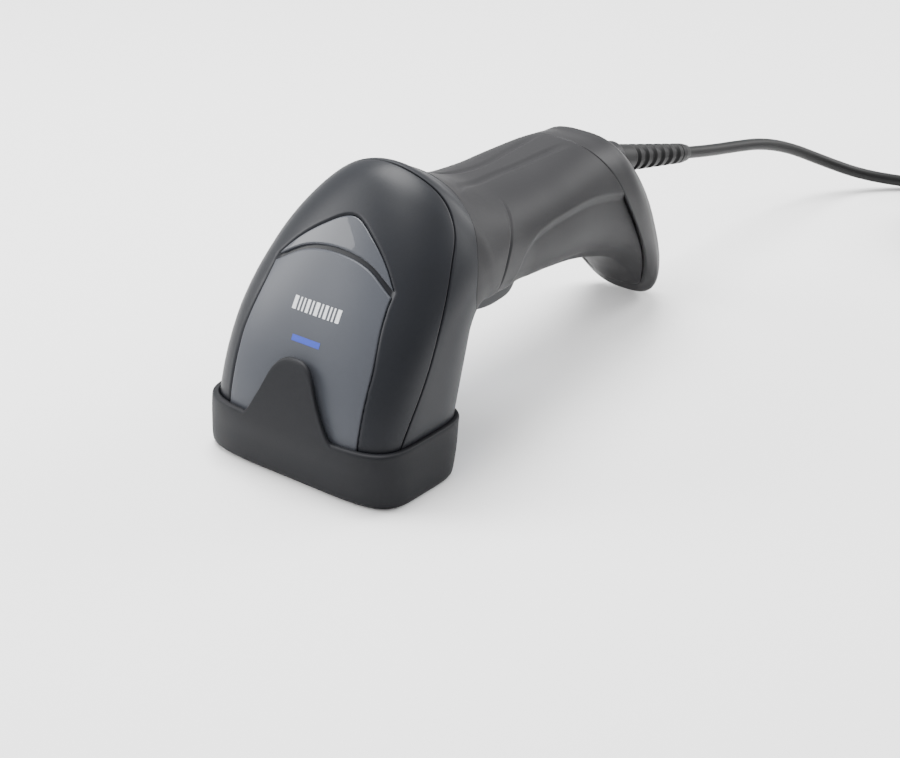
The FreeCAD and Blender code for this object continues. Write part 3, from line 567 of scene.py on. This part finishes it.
class SCANNER_OT_front_cover(bpy.types.Operator):
    """Front cover of the head, recessed for the badge and the crescent lens"""
    bl_idname = "scanner.front_cover"
    bl_label = "Front cover"

    def execute(self, context):
        rows, angles = seam_curve(220)
        middle = np.minimum(np.linspace(0, 1.12, len(rows)), 1.0)
        spine = HIDDEN_ROW + (rows[-1] - 1.6 - HIDDEN_ROW) * (1 - (1 - middle) ** 2)
        centre = np.full(len(rows), FRONT)
        length = line_length(rows, angles, spine, centre)[:, None]
        inner = np.linspace(1.0, 0.0, 72)[None, :] * np.ones_like(length)
        edge = np.minimum(EDGE_DISTANCE[None, :] / length, 0.4)
        start = edge[:, -1:]
        fractions = np.hstack([edge, start + (1 - start) * (1 - inner[:, 1:])])
        drop = np.hstack([EDGE_DROP, np.zeros(fractions.shape[1] - len(EDGE_DROP))])[None, :]
        row, angle = along_lines(rows, angles, spine, centre, fractions)
        flat = form(row, angle)
        recess = RECESS_DEPTH * smooth(badge_gap(flat), -0.35, 0.45) * smooth(-flat[..., 1], 40, 48)
        points = form(row, angle, drop + recess)
        obj = surface("front_cover", both_sides(points), MATERIALS["cover_plastic"], "cover_plastic",
                      outward=from_middle, solid=sizes().wall / MM)
        placed(obj, "front_cover")
        return {"FINISHED"}


class SCANNER_OT_main_body(bpy.types.Operator):
    """Main body from the head seam round the back to the neck crease, with its two slot marks"""
    bl_idname = "scanner.main_body"
    bl_label = "Main body"

    def execute(self, context):
        rows, angles = seam_curve(260)
        turn = np.linspace(BACK, FRONT, 400)
        crease = first_row(turn, lambda p: from_line(p, CREASE), 5.0, 16.0)
        low = crease[0]
        share = np.linspace(0, 1, len(rows))
        at_low = float(np.interp(low, rows, share))
        climb = np.clip((share - at_low) / (1 - at_low), 0, 1)
        far_angle = BACK + (FRONT - BACK) * climb
        far_row = np.where(climb > 0, np.interp(far_angle, turn, crease), np.minimum(rows, low))
        length = line_length(rows, angles, far_row, far_angle)[:, None]
        groove = sizes().seam / MM
        near = np.array([-3.0, -0.3, 0.0, 0.45, 0.75, 1.0])[None, :] * np.array([1, 1, 1, groove, groove, groove])
        near_drop = np.array([2.4, 2.3, 1.5, 0.6, 0.14, 0.0])
        edge = near / length
        body_part = edge[:, -1:] + (1 - edge[:, -1:]) * np.linspace(0, 1, 92)[None, 1:]
        fractions = np.hstack([edge, body_part])
        row, angle = along_lines(rows, angles, far_row, far_angle, fractions)
        drop = np.hstack([near_drop, np.zeros(body_part.shape[1])])[None, :] * np.ones_like(row)
        tuck = np.array([0.35, 0.7, 1.4, 3.0, 5.0])
        step = form(far_row + 0.01, far_angle) - form(far_row, far_angle)
        per_mm = 0.01 / np.linalg.norm(step, axis=-1)
        more = far_row[:, None] + tuck[None, :] * (per_mm * smooth(climb, 0.0, 0.05))[:, None]
        row = np.hstack([row, more])
        angle = np.hstack([angle, far_angle[:, None] * np.ones_like(more)])
        drop = np.hstack([drop, np.array([0.7, 1.2, 1.4, 1.5, 1.5])[None, :] * smooth(climb, 0.0, 0.05)[:, None]])
        flat = form(row, angle)
        a, b = SLOT_MARK
        part = np.clip(((flat - a) @ (b - a)) / np.dot(b - a, b - a), 0, 1)
        away = np.linalg.norm(flat - a - part[..., None] * (b - a), axis=-1)
        drop = drop + SLOT_DEPTH * (1 - smooth(away, 0.3, 0.85))
        points = form(row, angle, drop)
        obj = surface("main_body", both_sides(points), MATERIALS["body_plastic"], "body_plastic",
                      solid=sizes().wall / MM)
        placed(obj, "main_body")
        return {"FINISHED"}


class SCANNER_OT_grip(bpy.types.Operator):
    """Grip sleeve with its hand scallops, palm creases, moulded side line and trigger opening"""
    bl_idname = "scanner.grip"
    bl_label = "Grip sleeve"

    def execute(self, context):
        angle = np.linspace(0, 2 * math.pi, 321)[:-1] + BACK
        folded = np.where(angle > FRONT, math.pi - angle, angle)
        start = first_row(folded, lambda p: from_line(p, CREASE), 5.0, 16.0)
        end = first_row(folded, from_cap, 16.0, LAST_ROW + 0.0)
        length = line_length(start, angle, end, angle)
        edge = (EDGE_DISTANCE[:, None] + 0.12) / length[None, :]
        inner = edge[-1:] + (1 - edge[-1:]) * np.linspace(0, 1, 230)[1:, None]
        past = 1 + np.array([0.4, 1.2, 3.0])[:, None] / length[None, :]
        fractions = np.vstack([edge, inner, past])
        row = start[None, :] + (end - start)[None, :] * fractions
        turn = angle[None, :] * np.ones_like(row)
        drop = np.hstack([EDGE_DROP, np.zeros(len(inner)), (0.7, 1.1, 1.2)])[:, None] * np.ones_like(row)
        flat = form(row, turn)
        x, y, z = np.abs(flat[..., 0]), flat[..., 1], flat[..., 2]
        under = through(y, SCALLOP) - z
        hollow = smooth(under, -0.6, 2.6) * smooth(y, -16, 2) * smooth(x, 8, 14)
        palm = np.abs(x - through(y, PALM)) * (z > 56)
        on_top = smooth(z, 62, 65) * smooth(y, -30, -22) * (1 - smooth(y, 30, 42))
        line = np.abs(from_line(flat, GRIP_LINE))
        on_side = smooth(z, 44, 50) * (1 - smooth(z, 64, 68)) * smooth(x, 14, 18)
        drop = drop + sizes().scallop / MM * hollow
        in_palm = PALM_DEPTH * (1 - smooth(palm, 0.2, 2.2)) * on_top
        in_line = GRIP_LINE_DEPTH * (1 - smooth(line, 0.15, 0.9)) * on_side
        drop = drop + in_palm + in_line
        below = z < 47
        pocket = np.minimum(10.3 - x, np.minimum(y + 30.6, 11.4 - y))
        deep = OPENING_DEPTH * smooth(pocket, -0.35, 0.55) * below
        points = form(row, turn, drop + deep)
        flat_points = points.reshape(-1, 3)
        quads = grid_quads(points.shape[0], points.shape[1], True)
        quads = facing(flat_points, quads, from_middle)
        gone = (deep > OPENING_DEPTH - 0.5).reshape(-1)
        quads = quads[~np.all(gone[quads], axis=1)]
        obj = mesh_object("grip_sleeve", flat_points, quads, MATERIALS["grip_rubber"], "grip_rubber",
                          solid=GRIP_WALL)
        placed(obj, "grip_sleeve")
        return {"FINISHED"}


def on_relief(radius, along, count, turn=0.0):
    """A profile of radii along the strain relief's axis, carried round it; turn leans each ring."""
    a = np.linspace(0, 2 * math.pi, count + 1)[:-1]
    radius, along = np.asarray(radius, float)[:, None], np.asarray(along, float)[:, None]
    u = along + turn * np.sin(a)[None, :]
    side, up = radius * np.cos(a), radius * np.sin(a)
    cos, sin = math.cos(RELIEF_DROP), math.sin(RELIEF_DROP)
    y = RELIEF_ROOT[1] + u * cos + up * sin
    z = RELIEF_ROOT[2] - u * sin + up * cos
    return np.stack([side * np.ones_like(u), y, z], -1)


def from_relief(points):
    """Outward directions: away from the strain relief's leaning axis."""
    axis = np.array([0, math.cos(RELIEF_DROP), -math.sin(RELIEF_DROP)])
    offset = points - np.array(RELIEF_ROOT)
    return offset - (offset @ axis)[:, None] * axis


class SCANNER_OT_butt_cap(bpy.types.Operator):
    """Butt cap with a crowned end and the collar round the cable's exit"""
    bl_idname = "scanner.butt_cap"
    bl_label = "Butt cap"

    def execute(self, context):
        angle = np.linspace(0, 2 * math.pi, 241)[:-1] + BACK
        start = first_row(angle, from_cap, 16.0, LAST_ROW + 0.0)
        end = np.full(len(angle), LAST_ROW - 1e-6)
        length = line_length(start, angle, end, angle)
        edge = (EDGE_DISTANCE[:, None] + 0.2) / length[None, :]
        fractions = np.vstack([edge, edge[-1:] + (1 - edge[-1:]) * np.linspace(0, 1, 70)[1:, None]])
        row = start[None, :] + (end - start)[None, :] * fractions
        turn = angle[None, :] * np.ones_like(row)
        drop = np.hstack([EDGE_DROP, np.zeros(69)])[:, None] * np.ones_like(row)
        shell = form(row, turn, drop)
        rim = shell[-1]
        centre = rim.mean(axis=0)
        shrink = np.cos(np.linspace(0.0, math.pi / 2, 26))[1:, None, None]
        way = np.array([0.0, math.cos(math.radians(20)), math.sin(math.radians(20))])
        dome = centre + (rim - centre) * shrink + 1.0 * way * (1 - shrink ** 2)
        shell = np.concatenate([shell, dome])
        collar = on_relief((5.2, 5.7, 5.95, 6.0, 5.9, 5.6, 5.4, 5.2),
                           (-3.6, -3.65, -3.9, -4.4, -5.4, -8, -9, -9), 64)
        flat = [shell.reshape(-1, 3), collar.reshape(-1, 3)]
        quads = [facing(flat[0], grid_quads(shell.shape[0], shell.shape[1], True), from_middle),
                 facing(flat[1], grid_quads(collar.shape[0], collar.shape[1], True), from_relief) + len(flat[0])]
        obj = mesh_object("butt_cap", np.vstack(flat), np.vstack(quads), MATERIALS["cap_plastic"], "cap_plastic",
                          solid=CAP_WALL)
        placed(obj, "butt_cap")
        return {"FINISHED"}


# ---------------------------------------------------------------- nose
def bumper_row(z):
    """The bumper table's row at each height, read back from its front line."""
    rows = np.linspace(0, len(BUMPER) - 1, 600)
    return np.interp(z, form(rows, FRONT, 0.0, BUMPER)[:, 2], rows)


class SCANNER_OT_bumper(bpy.types.Operator):
    """Nose bumper: a rolled rim round the window whose front rises in a round tongue"""
    bl_idname = "scanner.bumper"
    bl_label = "Nose bumper"

    def execute(self, context):
        angle = np.linspace(0, 2 * math.pi, 561)[:-1]
        x = form(4.0, angle, 0.0, BUMPER)[:, 0]
        front = smooth(np.sin(angle), 0.0, 0.2)
        top = BUMPER_TOP + front * np.maximum(through(x, TONGUE) - BUMPER_TOP, 0)
        profile = [(2.5, 5.9), (1.2, 5.9), (0.5, 5.7), (0.12, 5.3), (0.0, 4.7), (0.0, 2.4), (0.0, 0.5),
                   (0.15, 0.12)]
        heights = [np.full_like(top, z) for z, inset in profile]
        insets = [inset for z, inset in profile]
        for f in np.linspace(0.05, 1, 34)[:-1]:
            heights.append(0.15 + (top - 0.9 - 0.15) * f)
            insets.append(0.0)
        for less, inset in ((0.9, 0.0), (0.5, 0.06), (0.22, 0.22), (0.06, 0.45), (0.0, 0.8), (0.0, 1.3), (0.1, 1.6),
                            (0.5, 1.75), (3.0, 1.8)):
            heights.append(top - less)
            insets.append(inset)
        z = np.array(heights)
        inset = np.array(insets)[:, None] * np.ones_like(z) + INSIDE_BOX
        points = form(bumper_row(z), angle[None, :] * np.ones_like(z), inset, BUMPER)
        obj = surface("nose_bumper", [(points, True)], MATERIALS["bumper_rubber"], "bumper_rubber")
        placed(obj, "nose_bumper")
        return {"FINISHED"}


def patch(x_of, low, high, count_x, count_z, lift, edge=0.5):
    """A raised patch of the head's front: a grid of (x, z) between two curves, its border rolled over."""
    s = np.concatenate([[-1, -1], np.linspace(-1, 1, count_x), [1, 1]])
    t = np.concatenate([[0, 0], np.linspace(0, 1, count_z), [1, 1]])
    x = x_of(0.0) * s[None, :] * np.ones((len(t), 1))
    z_low, z_high = low(x), high(x)
    z = z_low + (z_high - z_low) * t[:, None]
    x = x * x_of(z) / x_of(0.0)
    tall = np.maximum(z_high - z_low, 1e-3)
    from_side = (1 - np.abs(s))[None, :] * x_of(z)
    from_top = np.minimum(t, 1 - t)[:, None] * tall
    near = np.clip(np.minimum(from_side, from_top) / edge, 0, 1)
    height = lift - 0.45 * (1 - np.sqrt(1 - (1 - near) ** 2))
    skirt = np.zeros((len(t), len(s)))
    skirt[0] = skirt[-1] = 1.0
    skirt[:, 0] = skirt[:, -1] = 1.0
    return on_front(x, z, height - 1.1 * skirt)


class SCANNER_OT_badge(bpy.types.Operator):
    """Badge plate and the crescent lens above it, set in the front cover"""
    bl_idname = "scanner.badge"
    bl_label = "Badge and lens"

    def execute(self, context):
        badge = patch(lambda z: BADGE_HALF - BADGE_TAPER * smooth(z, 36, 57) + 0 * z, lambda x: 11.0 + 0 * x,
                      lambda x: through(x * 22.1 / 24.7, BADGE_TOP) - 0.2, 150, 170, 0.0)
        obj = surface("badge_plate", [(badge, False)], MATERIALS["badge_plastic"], "badge_plastic", outward=to_front)
        placed(obj, "badge_plate")
        lens = patch(lambda z: LENS_HALF + 0 * z, lambda x: through(x, LENS_LOW) + 0.15,
                     lambda x: through(x, LENS_HIGH) - 0.3, 150, 50, 0.0)
        obj = surface("indicator_lens", [(lens, False)], MATERIALS["indicator_lens"], "indicator_lens",
                      outward=to_front)
        placed(obj, "indicator_lens")
        return {"FINISHED"}


class SCANNER_OT_print(bpy.types.Operator):
    """Generic print on the badge: a row of bars and a plain blue stripe"""
    bl_idname = "scanner.badge_print"
    bl_label = "Badge print"

    def execute(self, context):
        def stripe(x0, x1, z0, z1):
            """A grid 0.05 mm proud of the head's front, from x0 to x1 and z0 to z1."""
            x = np.linspace(x0, x1, 9)[None, :]
            z = np.linspace(z0, z1, 7)[:, None]
            return on_front(x + 0 * z, z + 0 * x, 0.05), False

        widths = np.array(BAR_WIDTHS)
        starts = np.cumsum(widths + BAR_GAP) - widths
        starts = starts - 0.5 * (starts[-1] + widths[-1])
        bars = [stripe(a, a + w, *BAR_HEIGHTS) for a, w in zip(starts, widths)]
        obj = surface("print_bars", bars, MATERIALS["print_white"], "badge_plastic", outward=to_front)
        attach(obj, HOUSING)
        obj = surface("print_stripe", [stripe(*STRIPE)], MATERIALS["print_blue"], "badge_plastic",
                      outward=to_front)
        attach(obj, HOUSING)
        return {"FINISHED"}


# ---------------------------------------------------------------- trigger
def lever(points, back, half, crown):
    """A closed (y, z) loop carried across x, drawn in at the sides on a superellipse, closed at its ends."""
    ys = [p[0] for p in points]
    fine = np.linspace(0, 1, 60)
    run = np.concatenate([[0], np.cumsum(np.hypot(*np.diff(np.array(points), axis=0).T))])
    face = np.stack([through(fine * run[-1], list(zip(run, ys))),
                     through(fine * run[-1], list(zip(run, [p[1] for p in points])))], -1)
    rest = np.array([points[-1]] + list(back) + [points[0]], float)
    leg = np.concatenate([[0], np.cumsum(np.hypot(*np.diff(rest, axis=0).T))])
    rear = np.stack([np.interp(np.linspace(0, leg[-1], 42)[1:-1], leg, rest[:, k]) for k in (0, 1)], -1)
    loop = np.vstack([face, rear])
    centre = loop.mean(axis=0)
    across = np.linspace(-math.pi / 2, math.pi / 2, 41)
    x = half * np.sin(across)
    keep = (1 - np.abs(np.sin(across)) ** crown) ** (1 / crown)
    yz = centre + (loop - centre)[None] * (1 - 0.22 * (1 - keep))[:, None, None]
    rows = np.concatenate([np.full(yz.shape[:2], 1.0)[..., None] * x[:, None, None], yz], -1)
    cap = np.array([0.85, 0.5, 0.0])[:, None, None]
    first = rows[0].mean(axis=0) + (rows[0] - rows[0].mean(axis=0)) * cap[::-1]
    last = rows[-1].mean(axis=0) + (rows[-1] - rows[-1].mean(axis=0)) * cap
    return np.concatenate([first, rows, last])


def from_trigger(points):
    """Outward directions: away from the lever's own middle."""
    return points - np.array(LEVER_MIDDLE)


class SCANNER_OT_trigger(bpy.types.Operator):
    """Trigger lever and its blue finger pad"""
    bl_idname = "scanner.trigger"
    bl_label = "Trigger and pad"

    def execute(self, context):
        for name, face, back, half, node in (("trigger_lever", FINGER, FINGER_BACK, LEVER_HALF, "trigger"),
                                             ("finger_pad", PAD, PAD_BACK, PAD_HALF, "trigger_pad")):
            slot = "trigger_black" if node == "trigger" else "trigger_blue"
            obj = surface(name, [(lever(face, back, half, 6.0), True)], MATERIALS[slot], slot,
                          outward=from_trigger)
            placed(obj, node, body="trigger")
        return {"FINISHED"}


# ---------------------------------------------------------------- lead
class SCANNER_OT_lead(bpy.types.Operator):
    """Strain relief and the cable with its put-away coil"""
    bl_idname = "scanner.lead"
    bl_label = "Lead and plug"

    def execute(self, context):
        u = np.linspace(-6.0, 42.0, 240)
        taper = np.interp(u, (-6, 6, 39, 42), (4.9, 4.5, 3.4, 2.9))
        ribs = np.clip(0.5 - 1.6 * np.cos((u - 6.5) / RIB_PITCH * 2 * math.pi), 0, 1)
        in_ribs = smooth(u, 5.5, 6.5) * (1 - smooth(u, 36.0, 37.0))
        radius = np.concatenate([[0.5], taper - RIB_DEPTH * (1 - ribs) * in_ribs, [2.5, 0.5]])
        along = np.concatenate([[-6.0], u, [42.3, 42.3]])
        relief = surface("strain_relief_boot", [(on_relief(radius, along, 56, 0.35), True)],
                         MATERIALS["cable_jacket"], "cable_jacket", outward=from_relief)
        placed(relief, "strain_relief")

        curve = bpy.data.curves.new("cable_line", "CURVE")
        curve.dimensions = "3D"
        spline = curve.splines.new("NURBS")
        route = LEAD + coil_points() + TAIL
        spline.points.add(len(route) - 1)
        spline.points.foreach_set("co", np.hstack([np.array(route), np.ones((len(route), 1))]).ravel())
        spline.order_u = 3
        spline.use_endpoint_u = True
        spline.resolution_u = 6
        curve.bevel_depth = sizes().cable / 2
        curve.bevel_resolution = 5
        curve.use_fill_caps = True
        curve.materials.append(MATERIALS["cable_jacket"])
        cable = bpy.data.objects.new("cable_line", curve)
        context.scene.collection.objects.link(cable)
        placed(cable, "cable", "cable_coil")
        return {"FINISHED"}


def coil_points():
    """Control points of the coil: clockwise turns, in on one layer and out on the next, climbing between."""
    pitch = sizes().cable / MM + 0.1
    low = sizes().cable / MM / 2 + 0.05
    points = []
    angle = math.pi / 2 - 2 * math.pi / COIL_POINTS
    turns = COIL_COLUMNS * COIL_LAYERS + 0.25
    for k in range(int(turns * COIL_POINTS)):
        turn = k / COIL_POINTS
        layer = min(int(turn / COIL_COLUMNS), COIL_LAYERS - 1)
        within = turn - layer * COIL_COLUMNS
        inward = layer % 2 == 0
        step = min(within, COIL_COLUMNS - 1)
        r = COIL_OUTER - pitch * (step if inward else COIL_COLUMNS - 1 - step)
        rise = min(within / 0.18, 1.0) if layer else 1.0
        z = low + pitch * (layer - 1 + rise if layer else 0)
        a = angle - 2 * math.pi * turn
        r = r / COIL_CHORD
        x, y = COIL_CENTRE[0] + r * math.cos(a) * MM, COIL_CENTRE[1] + r * math.sin(a) * MM
        points.append((x, y, z * MM))
    return points


class SCANNER_OT_details(bpy.types.Operator):
    """Finishes on the parts that keep their solids: window, optics, boards, screws, tie and plug"""
    bl_idname = "scanner.details"
    bl_label = "Inner parts"

    def execute(self, context):
        for name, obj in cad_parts.items():
            slot = KEPT_SLOTS.get(name, "chip_black")
            obj.data.materials.clear()
            obj.data.materials.append(MATERIALS[slot])
        return {"FINISHED"}


KEPT_SLOTS = {
    "board_carrier": "body_plastic", "upper_handle_shell": "body_plastic", "lower_handle_shell": "body_plastic",
    "light_guide": "light_guide", "scan_window": "scan_window", "window_seal": "seal_foam",
    "housing_screws": "steel", "board_screws": "steel", "trigger_pin": "steel", "trigger_bracket": "steel",
    "trigger_spring": "steel", "optics_hood": "optics_black", "imager_module": "optics_black",
    "lens_barrel": "optics_black", "imager_lens": "lens_glass", "sensor_board": "board_green",
    "light_board": "board_green", "indicator_board": "board_green", "main_board": "board_green",
    "illumination_leds": "led_white", "indicator_leds": "led_white", "ribbon_cable": "plug_clear",
    "modular_plug": "plug_clear", "usb_plug_tongue": "plug_clear", "switch_plunger": "trigger_black",
    "lead_core": "cable_jacket", "usb_plug_body": "cable_jacket", "cable_tie": "tie_black",
    "usb_plug_shell": "plug_steel",
}


# ---------------------------------------------------------------- stage
FLOOR_HALF = 4.0
LIGHTS = (                   # name, place, aim, size and power, in metres and watts
    ("overhead", (-0.25, 0.1, 0.9), (0.0, 0.0, 0.04), 0.6, 22.0),
    ("left_window", (-0.8, -0.5, 0.5), (0.0, -0.05, 0.05), 0.5, 11.0),
    ("back_rim", (0.35, 0.8, 0.5), (0.0, 0.0, 0.06), 0.5, 8.0),
)
CAMERA_AZIMUTH = math.radians(38.6)
CAMERA_ELEVATION = math.radians(26.86)
CAMERA_DISTANCE = 0.7152
CAMERA_TARGET = (0.0011, -0.01354, 0.0043)
CAMERA_LENS = 92.0
SENSOR_WIDTH = 36.0


class SCANNER_OT_stage(bpy.types.Operator):
    """Pale floor, soft studio lights and the camera"""
    bl_idname = "scanner.stage"
    bl_label = "Stage"

    def execute(self, context):
        scene = context.scene
        half = FLOOR_HALF
        corners = [(-half, -half, 0), (half, -half, 0), (half, half, 0), (-half, half, 0)]
        mesh = bpy.data.meshes.new("floor")
        mesh.from_pydata(corners, [], [(0, 1, 2, 3)])
        floor = bpy.data.objects.new("floor", mesh)
        scene.collection.objects.link(floor)
        paint = Paint("pale floor", 0.25)
        paint.feed("Base Color", paint.blend(paint.noise(3.0), (0.93, 0.93, 0.93), (0.95, 0.95, 0.95)))
        mesh.materials.append(paint.material)

        world = bpy.data.worlds.new("studio")
        scene.world = world
        world.use_nodes = True
        ground = world.node_tree.nodes["Background"]
        ground.inputs["Color"].default_value = (1.0, 1.0, 1.0, 1.0)
        ground.inputs["Strength"].default_value = 1.0
        for name, place, aim, size, power in LIGHTS:
            light = bpy.data.lights.new(name, "AREA")
            light.shape = "SQUARE"
            light.size = size
            light.energy = power
            lamp = bpy.data.objects.new(name, light)
            look(lamp, place, aim)
            scene.collection.objects.link(lamp)

        level = math.cos(CAMERA_ELEVATION)
        way = (math.sin(CAMERA_AZIMUTH) * level, -math.cos(CAMERA_AZIMUTH) * level, math.sin(CAMERA_ELEVATION))
        camera = bpy.data.objects.new("camera", bpy.data.cameras.new("camera"))
        camera.data.lens = CAMERA_LENS
        camera.data.sensor_width = SENSOR_WIDTH
        look(camera, [t + CAMERA_DISTANCE * w for t, w in zip(CAMERA_TARGET, way)], CAMERA_TARGET)
        scene.collection.objects.link(camera)
        scene.camera = camera
        return {"FINISHED"}


def look(obj, place, aim):
    """Puts a lamp or camera at a place, looking at a point with its top upward."""
    obj.location = place
    obj.rotation_euler = (Vector(aim) - Vector(place)).to_track_quat("-Z", "Y").to_euler()


class SCANNER_PT_panel(bpy.types.Panel):
    """Buttons that build each piece, and the sizes and colours"""
    bl_idname = "SCANNER_PT_panel"
    bl_label = "Handheld scanner"
    bl_space_type = "VIEW_3D"
    bl_region_type = "UI"
    bl_category = "Scanner"

    def draw(self, context):
        for operator in OPERATORS:
            self.layout.operator(operator.bl_idname)
        for group in (context.scene.scanner_sizes, context.scene.scanner_colors):
            for key in group.__annotations__:
                self.layout.prop(group, key)


OPERATORS = (SCANNER_OT_details, SCANNER_OT_front_cover, SCANNER_OT_main_body, SCANNER_OT_grip, SCANNER_OT_butt_cap,
             SCANNER_OT_bumper, SCANNER_OT_badge, SCANNER_OT_print, SCANNER_OT_trigger, SCANNER_OT_lead,
             SCANNER_OT_stage)
CLASSES = (ScannerColors, ScannerSizes) + OPERATORS + (SCANNER_PT_panel,)


def register():
    for one in CLASSES:
        bpy.utils.register_class(one)
    bpy.types.Scene.scanner_colors = bpy.props.PointerProperty(type=ScannerColors)
    bpy.types.Scene.scanner_sizes = bpy.props.PointerProperty(type=ScannerSizes)


def unregister():
    del bpy.types.Scene.scanner_sizes
    del bpy.types.Scene.scanner_colors
    for one in reversed(CLASSES):
        bpy.utils.unregister_class(one)


def main():
    register()
    make_materials(bpy.context.scene.scanner_colors)
    for operator in OPERATORS:
        getattr(bpy.ops.scanner, operator.bl_idname.split(".")[1])()


if __name__ == "__main__":
    main()
